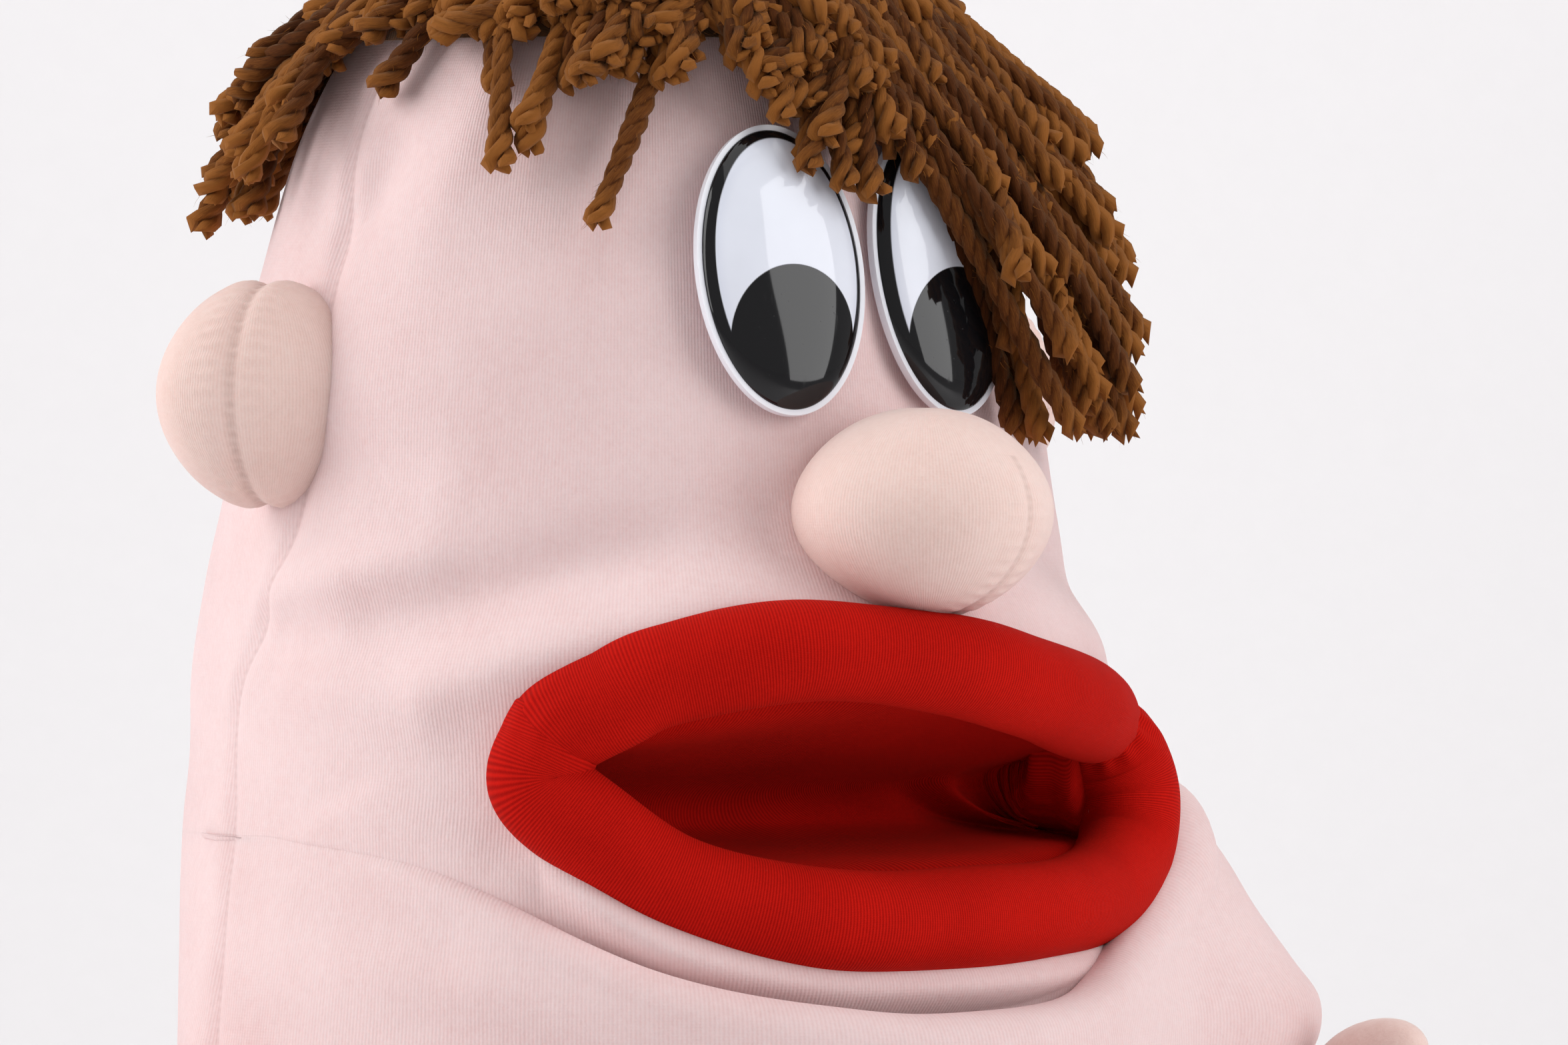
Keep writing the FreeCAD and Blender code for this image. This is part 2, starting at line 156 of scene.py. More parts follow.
EYE_AT = (24.5, -87.3, 442)
EYE_HALF = (21.8, 35.0)
EYE_DOME = 6.5
EYE_RING = 2.2
EYE_SPLAY, EYE_LEAN = 9, 11
PLATE_THICKNESS = 2.0
PUPIL_R = 17.0

NOSE_AT, NOSE_HALF = (0, -114, 383), (32.5, 31, 25.5)
EAR_AT, EAR_HALF, EAR_SWEEP = (112, 5, 412), (29, 16, 28), 12

SHOULDER = (154, -4, 231)
LEFT_ARM_RAISED = 80  # degrees forward from hanging
PALM_AT, PALM_HALF = (154, -8, 123), (15, 26, 36)
THUMB_AT, THUMB_HALF, THUMB_TILT = (154, -32, 135), (10, 11, 21), -28


# ------------------------------------------------------------------ surfaces
def smooth_run(points, t):
    """Curve through the points: between each pair a cubic, whose slope at a point is half the chord
    between that point's two neighbours. t counts points."""
    points = np.asarray(points, float)
    last = len(points) - 1
    i = np.clip(np.floor(t).astype(int), 0, last - 1)
    f = (t - i).reshape(np.shape(t) + (1,) * (points.ndim - 1))
    before, here = points[np.maximum(i - 1, 0)], points[i]
    there, after = points[i + 1], points[np.minimum(i + 2, last)]
    leave, arrive = (there - before) / 2, (after - here) / 2
    return (here * (1 + 2 * f) * (1 - f) ** 2 + leave * f * (1 - f) ** 2
            + there * f ** 2 * (3 - 2 * f) + arrive * f ** 2 * (f - 1))


def smooth_line(knots, x):
    """Height of the smooth curve through (place, height) knots at each x."""
    t = np.linspace(0, len(knots) - 1, 40 * len(knots))
    places, heights = smooth_run(knots, t).T
    return np.interp(x, places, heights)


def bell(x):
    return np.exp(-x ** 2)


def ease(x):
    """0 below 0, 1 above 1, and a smooth step between."""
    x = np.clip(x, 0, 1)
    return x * x * (3 - 2 * x)


def folds(azimuth, z, lines):
    """Sum of ridges and valleys on the unrolled cover: each is a bell of the distance to its line."""
    total = np.zeros(np.broadcast(azimuth, z).shape)
    for a0, z0, a1, z1, width, height in lines:
        run = np.array([(a1 - a0) * PER_DEGREE, z1 - z0])
        dx, dz = (azimuth - a0) * PER_DEGREE, z - z0
        share = np.clip((dx * run[0] + dz * run[1]) / (run @ run), 0, 1)
        off = np.hypot(dx - share * run[0], dz - share * run[1])
        swell = 0.35 + 0.65 * np.sin(np.pi * (0.12 + 0.76 * share))
        total = total + height * bell(off / width) * swell
    return total


def reach(azimuth, z, front):
    """Distance of the plain cover from the upright axis: half an ellipse to the front joined to half
    an ellipse to the back, whose half axes run smoothly from section to section."""
    t = np.linspace(0, len(SECTIONS) - 1, 60 * len(SECTIONS))
    rows = smooth_run(SECTIONS, t)
    heights = np.maximum.accumulate(rows[:, 0])
    side = np.interp(z, heights, rows[:, 1])
    ahead = np.interp(z, heights, rows[:, front])
    back = np.interp(z, heights, rows[:, 4])
    a = np.radians(azimuth)
    depth = np.where(np.cos(a) > 0, ahead, back)
    return 1 / np.sqrt((np.sin(a) / side) ** 2 + (np.cos(a) / depth) ** 2)


def seam_offset(azimuth, z):
    """Signed distance round the cover to the nearer side seam, millimetres."""
    at = smooth_line(SIDE_SEAM, z)
    return (np.abs(azimuth) - at) * PER_DEGREE


def seam_dip(azimuth, z):
    """Narrow valley at the side seams, with puckers along it."""
    off = seam_offset(azimuth, z)
    pucker = 0.6 + 0.4 * np.sin(z / 4.3 + 1.7 * np.sin(z / 19))
    return -1.5 * bell(off / 2.6) * (0.75 + 0.25 * pucker) + 0.5 * pucker * bell((np.abs(off) - 6) / 5)


def lip_line(knots, count=400):
    return smooth_run(knots, np.linspace(0, len(knots) - 1, count))


def lip_height(knots, azimuth):
    """Height of a lip roll's centre line at an azimuth, between its two outermost points."""
    x, y, z = lip_line(knots).T
    at = np.degrees(np.arctan2(x, -y))
    first, last = at.argmin(), at.argmax() + 1
    return np.interp(azimuth, at[first:last], z[first:last])


def face_cover(azimuth, z):
    """The face: plain cover, drawn out to meet the upper lip roll, with its folds and seams."""
    lip = lip_height(UPPER_LIP, np.clip(azimuth, -41, 41))
    near = 1 - ease((np.abs(azimuth) - 44) / 34)
    muzzle = 10.0 * near * bell((z - lip - 3) / 21) * (1 - 0.35 * ease(np.abs(azimuth) / 52))
    return reach(azimuth, z, FACE_FRONT) + muzzle + folds(azimuth, z, FACE_FOLDS) + seam_dip(azimuth, z)


def body_cover(azimuth, z):
    """The body: plain cover with the cloth pushed up at the puppet's left shoulder."""
    at, across = SHOULDER_PUSH_AT
    bulge = smooth_line(SHOULDER_PUSH, z) * bell((azimuth - at) / across)
    return (reach(azimuth, z, BODY_FRONT) + bulge + folds(azimuth, z, BODY_FOLDS)
            + seam_dip(azimuth, z))


def upright(azimuth, radius, z):
    """Points from azimuth, distance from the axis and height."""
    a = np.radians(azimuth)
    return np.stack([radius * np.sin(a), -radius * np.cos(a), z + 0 * radius], -1)


def new_object(name, points, faces, uv=None, values=None):
    """Mesh object from points in millimetres, with an optional corner map and point values."""
    mesh = bpy.data.meshes.new(name)
    points = np.asarray(points, float).reshape(-1, 3)
    used, faces = np.unique(np.asarray(faces), return_inverse=True)
    faces = faces.reshape(-1, 4)
    values = {key: np.asarray(data, np.float32).ravel()[used] for key, data in (values or {}).items()}
    mesh.from_pydata(points[used] * MM, [], faces.tolist())
    if uv is not None:
        layer = mesh.uv_layers.new(name="cloth")
        layer.data.foreach_set("uv", np.asarray(uv, np.float32).ravel())
    for key, data in values.items():
        field = mesh.attributes.new(key, "FLOAT", "POINT")
        field.data.foreach_set("value", data)
    mesh.polygons.foreach_set("use_smooth", np.ones(len(mesh.polygons), bool))
    mesh.update()
    obj = bpy.data.objects.new(name, mesh)
    bpy.context.collection.objects.link(obj)
    return obj


def grid_faces(rows, columns, wrap):
    """Quads of a grid of points, by point number; wrap joins the last column to the first."""
    cells = columns if wrap else columns - 1
    i, j = np.meshgrid(np.arange(rows - 1), np.arange(cells), indexing="ij")
    k = (j + 1) % columns
    quads = np.stack([i * columns + j, i * columns + k, (i + 1) * columns + k, (i + 1) * columns + j], -1)
    return quads.reshape(-1, 4), i.ravel(), j.ravel()


def surface(name, points, uv, wrap=False, flip=False, values=None, keep=None):
    """Grid surface. points is rows by columns; uv has one more column than a wrapped grid, and keep
    says which cells are made."""
    rows, columns = points.shape[:2]
    quads, i, j = grid_faces(rows, columns, wrap)
    corner = np.stack([uv[i, j], uv[i, j + 1], uv[i + 1, j + 1], uv[i + 1, j]], 1)
    if keep is not None:
        kept = keep[i, j]
        quads, corner = quads[kept], corner[kept]
    if flip:
        quads, corner = quads[:, ::-1], corner[:, ::-1]
    return new_object(name, points, quads, corner, values)


def cloth_map(azimuth, z, wrap):
    """Corner map in metres: round the cover, and up."""
    if wrap:
        azimuth = np.concatenate([azimuth, azimuth[:, :1] + 360], 1)
        z = np.concatenate([z, z[:, :1]], 1)
    return np.stack([np.radians(azimuth) * COVER_RADIUS * MM, z * MM], -1)


def thicken(obj, thickness):
    """Gives a cover its cloth thickness, inwards. Its open edges are marked sharp, so that two covers
    that meet there look like one."""
    mesh = obj.data
    edge_of = np.empty(len(mesh.loops), np.int32)
    mesh.loops.foreach_get("edge_index", edge_of)
    sharp = mesh.attributes.new("sharp_edge", "BOOLEAN", "EDGE")
    sharp.data.foreach_set("value", np.bincount(edge_of, minlength=len(mesh.edges)) == 1)
    solid = obj.modifiers.new("thickness", "SOLIDIFY")
    solid.thickness = thickness * MM
    solid.offset = -1
    return obj


def seam_columns(count):
    """Azimuths all round from -180, closer together at the two side seams and the mouth corners."""
    fine = np.linspace(-180, 180, 4001)
    weight = 1 + sum(2.2 * bell((fine - at) / 9) for at in (-96, 96))
    weight += sum(1.2 * bell((fine - at) / 7) for at in (-52, 52))
    run = np.concatenate([[0], np.cumsum((weight[1:] + weight[:-1]) / 2)])
    return np.interp(np.linspace(0, run[-1], count + 1)[:-1], run, fine)


def frame_along(path, core):
    """Unit directions along a path, across it towards a core point, and square to both."""
    tangent = np.gradient(path, axis=0)
    tangent /= np.linalg.norm(tangent, axis=1, keepdims=True)
    side = np.asarray(core, float) - path
    side -= tangent * (side * tangent).sum(1, keepdims=True)
    side /= np.linalg.norm(side, axis=1, keepdims=True)
    return tangent, side, np.cross(tangent, side)


def run_length(path):
    steps = np.linalg.norm(np.diff(path, axis=0), axis=1)
    return np.concatenate([[0], np.cumsum(steps)])


def rolled(name, path, radius, core, values=None):
    """Stuffed roll: circles square to a path, whose radius may change along it and round it, closed
    at both ends by shrinking to a point. The map runs along the path and round the roll."""
    around = radius.shape[1]
    _, side, other = frame_along(path, core)
    angle = np.linspace(0, 2 * np.pi, around, endpoint=False)
    ring = (side[:, None] * np.cos(angle)[:, None] + other[:, None] * np.sin(angle)[:, None])
    points = path[:, None] + radius[..., None] * ring
    length = run_length(path)
    u = np.repeat(length[:, None], around + 1, 1)
    v = np.repeat(np.linspace(0, 2 * np.pi * radius.max(), around + 1)[None], len(path), 0)
    return surface(name, points, np.stack([u, v], -1) * MM, wrap=True, values=values)


# ------------------------------------------------------------------ shader maths
class Field:
    """A shader socket that takes part in sums written as Python."""

    def __init__(self, paint, socket):
        self.paint, self.socket = paint, socket

    def __add__(self, other):
        return self.paint.maths("ADD", self, other)

    def __sub__(self, other):
        return self.paint.maths("SUBTRACT", self, other)

    def __rsub__(self, other):
        return self.paint.maths("SUBTRACT", other, self)

    def __mul__(self, other):
        return self.paint.maths("MULTIPLY", self, other)

    def __truediv__(self, other):
        return self.paint.maths("DIVIDE", self, other)

    def __rtruediv__(self, other):
        return self.paint.maths("DIVIDE", other, self)

    def __pow__(self, other):
        return self.paint.maths("POWER", self, other)

    __radd__, __rmul__ = __add__, __mul__


class Paint:
    """One material: its nodes are added by `node`, and sums on values by Field's operators."""

    def __init__(self, name):
        self.material = bpy.data.materials.new(name)
        self.material.use_nodes = True
        self.tree = self.material.node_tree
        self.tree.nodes.clear()

    def node(self, kind, settings=None, sockets=None, out=0):
        """Adds a node, sets its settings, then fills or links its sockets, and gives one output."""
        made = self.tree.nodes.new(kind)
        for key, value in (settings or {}).items():
            if key == "stops":
                self.set_stops(made.color_ramp, value)
            else:
                setattr(made, key, value)
        for key, value in (sockets or {}).items():
            if isinstance(value, Field):
                self.tree.links.new(value.socket, made.inputs[key])
            else:
                made.inputs[key].default_value = value
        return made if out is None else Field(self, made.outputs[out])

    @staticmethod
    def set_stops(ramp, stops):
        while len(ramp.elements) < len(stops):
            ramp.elements.new(1)
        for element, (place, colour) in zip(ramp.elements, stops):
            element.position, element.color = place, colour

    def maths(self, operation, a, b=0.0):
        return self.node("ShaderNodeMath", {"operation": operation}, {0: a, 1: b})

    def wave(self, value):
        """Cosine of a value, from -1 to 1."""
        return self.maths("COSINE", value)

    def step(self, value, low, high):
        """Smooth step of a value from 0 at low to 1 at high."""
        return self.node("ShaderNodeMapRange", {"interpolation_type": "SMOOTHSTEP", "clamp": True},
                         {"Value": value, "From Min": low, "From Max": high})

    def mix(self, share, first, second):
        """Mixes two colours."""
        made = self.node("ShaderNodeMix", {"data_type": "RGBA", "clamp_factor": True}, out=None)
        for key, value in ((0, share), (6, first), (7, second)):
            if isinstance(value, Field):
                self.tree.links.new(value.socket, made.inputs[key])
            elif key == 0:
                made.inputs[key].default_value = value
            else:
                made.inputs[key].default_value = (*value, 1)
        return Field(self, made.outputs[2])

    def noise(self, scale, vector=None, detail=3.0, rough=0.55, out="Fac"):
        sockets = {"Scale": scale, "Detail": detail, "Roughness": rough}
        if vector is not None:
            sockets["Vector"] = vector
        return self.node("ShaderNodeTexNoise", {}, sockets, out)

    def place(self):
        """Place on the puppet, metres."""
        return self.node("ShaderNodeTexCoord", out="Object")

    def cloth(self):
        """The piece's own map: across and along, metres."""
        uv = self.node("ShaderNodeUVMap", {"uv_map": "cloth"})
        made = self.node("ShaderNodeSeparateXYZ", {}, {0: uv}, out=None)
        return uv, Field(self, made.outputs[0]), Field(self, made.outputs[1])

    def stretched(self, vector, scale):
        return self.node("ShaderNodeMapping", {}, {"Vector": vector, "Scale": scale})

    def value(self, name):
        """A point value stored on the piece."""
        return self.node("ShaderNodeAttribute", {"attribute_name": name}, out="Fac")

    def bump(self, height, strength, distance, normal=None):
        sockets = {"Height": height, "Strength": strength, "Distance": distance * MM}
        if normal is not None:
            sockets["Normal"] = normal
        return self.node("ShaderNodeBump", {}, sockets)

    def finish(self, **sockets):
        """Closes the material with the standard shader."""
        named = {key.replace("_", " ").title().replace("Ior", "IOR"): value
                 for key, value in sockets.items()}
        shader = self.node("ShaderNodeBsdfPrincipled", {}, named)
        self.node("ShaderNodeOutputMaterial", {}, {"Surface": shader}, out=None)
        return self.material


def rgb(colour, share=1.0):
    return tuple(float(c) * share for c in colour)


def velour(name, colour, shade, rib, seams=False):
    """Ribbed velour: fine upright ribs of pile, a nap that lies in soft patches, and a pale sheen. The
    colour is painted darker where ribs and pile lie low, as painted shade.
    """
    paint = Paint(name)
    _, across, along = paint.cloth()
    place = paint.place()
    ribs = paint.wave(across * (2 * math.pi / (rib * MM))) * 0.5 + 0.5
    courses = paint.wave(along * (2 * math.pi / (0.78 * rib * MM))) * 0.5 + 0.5
    pile = paint.noise(1500, place, 2.0, 0.6)
    tufts = paint.noise(420, place, 3.0, 0.6)
    nap = paint.noise(26, place, 4.0, 0.6)
    broad = paint.noise(9, place, 2.0, 0.5)
    # painted shade: the colour falls towards the shade colour where ribs, pile and tufts lie low, the same
    # values that raise the bump; nap and broad add patches that differ at random
    share = 0.30 + ribs * 0.12 + pile * 0.16 + tufts * 0.20 + nap * 0.34 + broad * 0.16
    tone = paint.mix(paint.step(share, 0.42, 0.98), shade, colour)
    if seams:
        # painted shade: a darker line along each seam, darker still at each stitch, stands for the shade in
        # the seam's sunk valley
        off = paint.value("seam")
        line = 1 - paint.step(paint.maths("ABSOLUTE", off), 0.25, 1.5)
        stitch = paint.wave(along * (2 * math.pi / (2.6 * MM))) * 0.5 + 0.5
        tone = paint.mix(line * (0.20 + stitch * 0.16), tone, rgb(shade, 0.72))
    height = ribs * 0.45 + courses * 0.12 + pile * 0.55 + tufts * 0.9
    normal = paint.bump(height, 0.42, 0.30, paint.bump(nap, 0.35, 1.2))
    return paint.finish(base_color=tone, roughness=0.92, normal=normal, sheen_weight=0.30,
                        sheen_roughness=0.45, sheen_tint=(1, 0.90, 0.90, 1), specular_ior_level=0.15,
                        subsurface_weight=0.12, subsurface_radius=(0.9, 0.35, 0.3), subsurface_scale=0.004)


def jersey(name, colour, shade, wale):
    """Plain jersey: fine wales, each a row of knitted loops, with a faint haze of loose fibre. The colour
    is painted darker between wales and loops, as painted shade.
    """
    paint = Paint(name)
    _, across, along = paint.cloth()
    place = paint.place()
    drift = paint.noise(60, place, 2.0, 0.5) * (0.35 * wale * MM)
    wales = paint.wave((across + drift) * (2 * math.pi / (wale * MM))) * 0.5 + 0.5
    loops = paint.wave(along * (2 * math.pi / (0.62 * wale * MM))
                       + paint.wave(across * (2 * math.pi / (wale * MM))) * 1.1) * 0.5 + 0.5
    haze = paint.noise(900, place, 2.0, 0.6)
    patch = paint.noise(22, place, 3.0, 0.6)
    # painted shade: the colour falls towards the shade colour where wales and loops lie low, the same
    # values that raise the bump; patch adds tone that differs at random
    share = wales * 0.40 + loops * 0.16 + haze * 0.22 + patch * 0.44
    tone = paint.mix(paint.step(share, 0.18, 0.98), shade, colour)
    fluff = paint.noise(240, paint.stretched(place, (1, 1, 3)), 5.0, 0.7)
    tone = paint.mix(paint.step(fluff, 0.68, 0.82) * 0.12, tone, (0.7, 0.2, 0.16))
    height = wales * 0.85 + loops * 0.30 + haze * 0.3
    normal = paint.bump(height, 0.5, 0.22, paint.bump(patch, 0.3, 0.8))
    return paint.finish(base_color=tone, roughness=0.80, normal=normal, sheen_weight=0.05,
                        sheen_roughness=0.5, sheen_tint=(1, 0.2, 0.12, 1), specular_ior_level=0.05)


def yarn_finish(name, dark, middle, light):
    """Plied yarn: fibres run along each ply, strands differ in tone at random, and cut ends are pale. Each
    ply is painted darker in the grooves between plies, as painted shade, and the light colour, reached at
    cut ends and on random fibres, is partly painted highlight.
    """
    paint = Paint(name)
    uv, _, _ = paint.cloth()
    fibre = paint.noise(1, paint.stretched(uv, (5200, 420, 1)), 4.0, 0.65)
    coarse = paint.noise(1, paint.stretched(uv, (1500, 160, 1)), 3.0, 0.6)
    shade, tip, groove = paint.value("shade"), paint.value("tip"), paint.value("groove")
    # painted shade: groove darkens each ply where it faces into the strand, between the plies
    share = fibre * 0.55 + coarse * 0.30 + shade * 0.42 - groove * 0.42 + tip * 0.34
    tone = paint.node("ShaderNodeValToRGB", {"stops": [
        (0.02, (*rgb(dark, 0.55), 1)), (0.28, (*dark, 1)), (0.56, (*middle, 1)), (0.90, (*light, 1))]},
        {"Fac": share})
    height = fibre * 0.8 + coarse * 0.6
    normal = paint.bump(height, 0.75, 0.35)
    return paint.finish(base_color=tone, roughness=0.82, normal=normal, sheen_weight=0.15,
                        sheen_roughness=0.4, sheen_tint=(1, 0.7, 0.4, 1), specular_ior_level=0.12)


def eye_finish(name, black, white):
    """Moulded eye: glossy black with a bright window cut off below by a round pupil. The piece's map
    holds the place on the eye, and the mask is worked out from it."""
    paint = Paint(name)
    _, x, y = paint.cloth()
    a, b = (EYE_HALF[0] - EYE_RING) * MM, (EYE_HALF[1] - EYE_RING) * MM
    pupil_r = PUPIL_R * MM
    place = paint.place()
    oval = paint.maths("SQRT", (x / a) ** 2 + (y / b) ** 2)
    pupil = paint.maths("SQRT", x * x + (y + pupil_r) ** 2)
    window = (1 - paint.step(oval, 0.985, 1.0)) * paint.step(pupil, pupil_r - 0.0001, pupil_r + 0.0002)
    window = window * paint.step(y, -0.0185, -0.0178)
    flow = paint.noise(70, place, 2.0, 0.5)
    pale = paint.mix(paint.step(flow, 0.3, 0.75), white, rgb(white, 0.96))
    # painted shade: the window's white turns bluish grey towards its rim, on the dome's shoulder where the
    # surface turns away
    edge = paint.step(oval, 0.86, 1.0)
    pale = paint.mix(edge * 0.35, pale, (0.62, 0.66, 0.78))
    tone = paint.mix(window, black, pale)
    scuff = paint.noise(1, paint.stretched(place, (900, 900, 90)), 3.0, 0.6)
    dust = paint.noise(1400, place, 1.0, 0.5)
    rough = 0.06 + paint.step(scuff, 0.60, 0.80) * 0.10 + paint.step(dust, 0.74, 0.80) * 0.25
    return paint.finish(base_color=tone, roughness=rough, normal=paint.bump(1 - window, 0.6, 0.25),
                        specular_ior_level=0.42)


def moulded(name, colour, roughness, clear=0.0):
    """Moulded plastic with a faint flow grain."""
    paint = Paint(name)
    place = paint.place()
    flow = paint.noise(45, place, 3.0, 0.5)
    grain = paint.noise(2600, place, 1.0, 0.5)
    tone = paint.mix(flow, colour, rgb(colour, 0.9))
    normal = paint.bump(grain, 0.08, 0.05)
    return paint.finish(base_color=tone, roughness=roughness + flow * 0.08, normal=normal,
                        subsurface_weight=clear, subsurface_radius=(1, 1, 1), subsurface_scale=0.003)


def plain_weave(name, colour, thread):
    """Woven lining: threads over and under in both directions."""
    paint = Paint(name)
    place = paint.place()
    parts = paint.node("ShaderNodeSeparateXYZ", {}, {0: place}, out=None)
    x, y, z = (Field(paint, parts.outputs[k]) for k in range(3))
    turn = 2 * math.pi / (thread * MM)
    weave = paint.wave((x + y) * turn) * paint.wave((z + (x - y) * 0.35) * turn)
    slub = paint.noise(300, place, 3.0, 0.6)
    tone = paint.mix(paint.step(weave * 0.25 + slub, 0.2, 0.9), rgb(colour, 0.72), colour)
    return paint.finish(base_color=tone, roughness=0.9, sheen_weight=0.2,
                        normal=paint.bump(weave * 0.5 + slub, 0.5, 0.2))


def foam_finish(name, colour):
    """Open foam or fibre batting: small cells of uneven depth."""
    paint = Paint(name)
    place = paint.place()
    cells = paint.node("ShaderNodeTexVoronoi", {}, {"Vector": place, "Scale": 600.0}, "Distance")
    drift = paint.noise(40, place, 3.0, 0.6)
    tone = paint.mix(paint.step(cells * 0.6 + drift, 0.3, 1.1), colour, rgb(colour, 0.78))
    return paint.finish(base_color=tone, roughness=0.95, normal=paint.bump(cells, 0.6, 0.6))


def dress(obj, material):
    """Gives a piece its one material."""
    obj.data.materials.clear()
    obj.data.materials.append(material)
    return obj


# ------------------------------------------------------------------ settings
class PuppetCloth(PropertyGroup):
    """Colours and knit of the covers."""
    pink: FloatVectorProperty(name="Pink velour", description="Cover of head and body",
                              default=(0.86, 0.665, 0.66), subtype="COLOR", size=3)
    # the pink shade colour is painted shade: the pink where ribs and pile lie low
    pink_shade: FloatVectorProperty(name="Pink shade", description="Pink between the piles",
                                    default=(0.72, 0.47, 0.46), subtype="COLOR", size=3)
    peach: FloatVectorProperty(name="Peach velour", description="Cover of nose, ears and hands",
                               default=(0.87, 0.675, 0.62), subtype="COLOR", size=3)
    # the peach shade colour is painted shade: the peach where ribs and pile lie low
    peach_shade: FloatVectorProperty(name="Peach shade", description="Peach between the piles",
                                     default=(0.72, 0.48, 0.42), subtype="COLOR", size=3)
    red: FloatVectorProperty(name="Red jersey", description="Lip rolls and mouth lining",
                             default=(0.60, 0.0085, 0.004), subtype="COLOR", size=3)
    # the red shade colour is painted shade: the red where wales and loops lie low
    red_shade: FloatVectorProperty(name="Red shade", description="Red between the wales",
                                   default=(0.30, 0.002, 0.001), subtype="COLOR", size=3)
    rib: FloatProperty(name="Velour rib", description="Distance between ribs, mm", default=0.95,
                       min=0.4, max=3)
    wale: FloatProperty(name="Jersey wale", description="Distance between wales, mm", default=0.70,
                        min=0.3, max=3)


class PuppetStuffing(PropertyGroup):
    """Sizes of the stuffed pieces."""
    lip_radius: FloatProperty(name="Lip radius", description="Radius of both lip rolls, mm",
                              default=12.5, min=6, max=20)
    cover: FloatProperty(name="Cover thickness", description="Velour with its backing, mm",
                         default=1.4, min=0.5, max=4)


class PuppetYarn(PropertyGroup):
    """The mop of yarn."""
    radius: FloatProperty(name="Strand radius", description="Radius of one plied strand, mm",
                          default=2.8, min=1, max=5)
    pitch: FloatProperty(name="Ply pitch", description="Length of one turn of the plies, mm",
                         default=17.0, min=4, max=30)
    seed: IntProperty(name="Seed", description="Which way the strands happen to fall", default=7)
    # the dark yarn colour is mostly painted shade in the grooves between plies, and also the darkest fibres
    dark: FloatVectorProperty(name="Dark yarn", description="Yarn in its grooves",
                              default=(0.024, 0.0055, 0.0009), subtype="COLOR", size=3)
    middle: FloatVectorProperty(name="Yarn", description="Yarn on its plies",
                                default=(0.090, 0.025, 0.0042), subtype="COLOR", size=3)
    light: FloatVectorProperty(name="Light yarn", description="Cut ends and highlights",
                               default=(0.27, 0.095, 0.018), subtype="COLOR", size=3)


class PuppetStage(PropertyGroup):
    """Camera and light."""
    azimuth: FloatProperty(name="Camera azimuth", description="Degrees from the front towards the "
                           "puppet's left", default=-38)
    elevation: FloatProperty(name="Camera elevation", description="Degrees above level", default=0.3)
    distance: FloatProperty(name="Camera distance", description="Metres from the aim", default=2.6,
                            unit="LENGTH", min=0.3)
    across: FloatProperty(name="Frame width", description="Width seen at the aim, metres",
                          default=0.397, unit="LENGTH", min=0.05)


class PuppetSettings(PropertyGroup):
    """Everything a user would change."""
    cloth: PointerProperty(type=PuppetCloth)
    stuffing: PointerProperty(type=PuppetStuffing)
    yarn: PointerProperty(type=PuppetYarn)
    stage: PointerProperty(type=PuppetStage)


def shared(name, make):
    """A material that several pieces share, made once."""
    return bpy.data.materials.get(name) or make(name)


def pink_velour(cloth):
    return shared("pink velour", lambda n: velour(n, rgb(cloth.pink), rgb(cloth.pink_shade),
                                                  cloth.rib, True))


def peach_velour(cloth):
    return shared("peach velour", lambda n: velour(n, rgb(cloth.peach), rgb(cloth.peach_shade),
                                                   cloth.rib, True))


def red_jersey(cloth):
    return shared("red jersey", lambda n: jersey(n, rgb(cloth.red), rgb(cloth.red_shade), cloth.wale))


# ------------------------------------------------------------------ covers
def cover(name, azimuth, radius, z, thickness, keep=None):
    """Cover piece from rows of azimuth, radius and height all round, with its seam distance as a
    point value."""
    points = upright(azimuth, radius, z)
    seam = seam_offset(azimuth, z)
    obj = surface(name, points, cloth_map(azimuth, z + 0 * azimuth, True), True,
                  values={"seam": seam}, keep=keep)
    return thicken(obj, thickness)


class PUPPET_OT_body(Operator):
    """Sews the body tube, from the hem to the neck"""
    bl_idname = "puppet.body"
    bl_label = "Body cover"

    def execute(self, context):
        puppet = context.scene.puppet
        columns = seam_columns(COVER_COLUMNS)
        z = BODY_TOP * np.linspace(0, 1, 88)[:, None] + 0 * columns
        azimuth = np.broadcast_to(columns, z.shape)
        # the hem turns under at the bottom
        radius = body_cover(azimuth, z) - 2.2 * bell(z / 3.5)
        body = cover("body_cover", azimuth, radius, z, puppet.stuffing.cover)
        dress(body, pink_velour(puppet.cloth))
        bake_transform(body)
        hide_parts("torso_cover_front", "torso_cover_back")
        return {"FINISHED"}


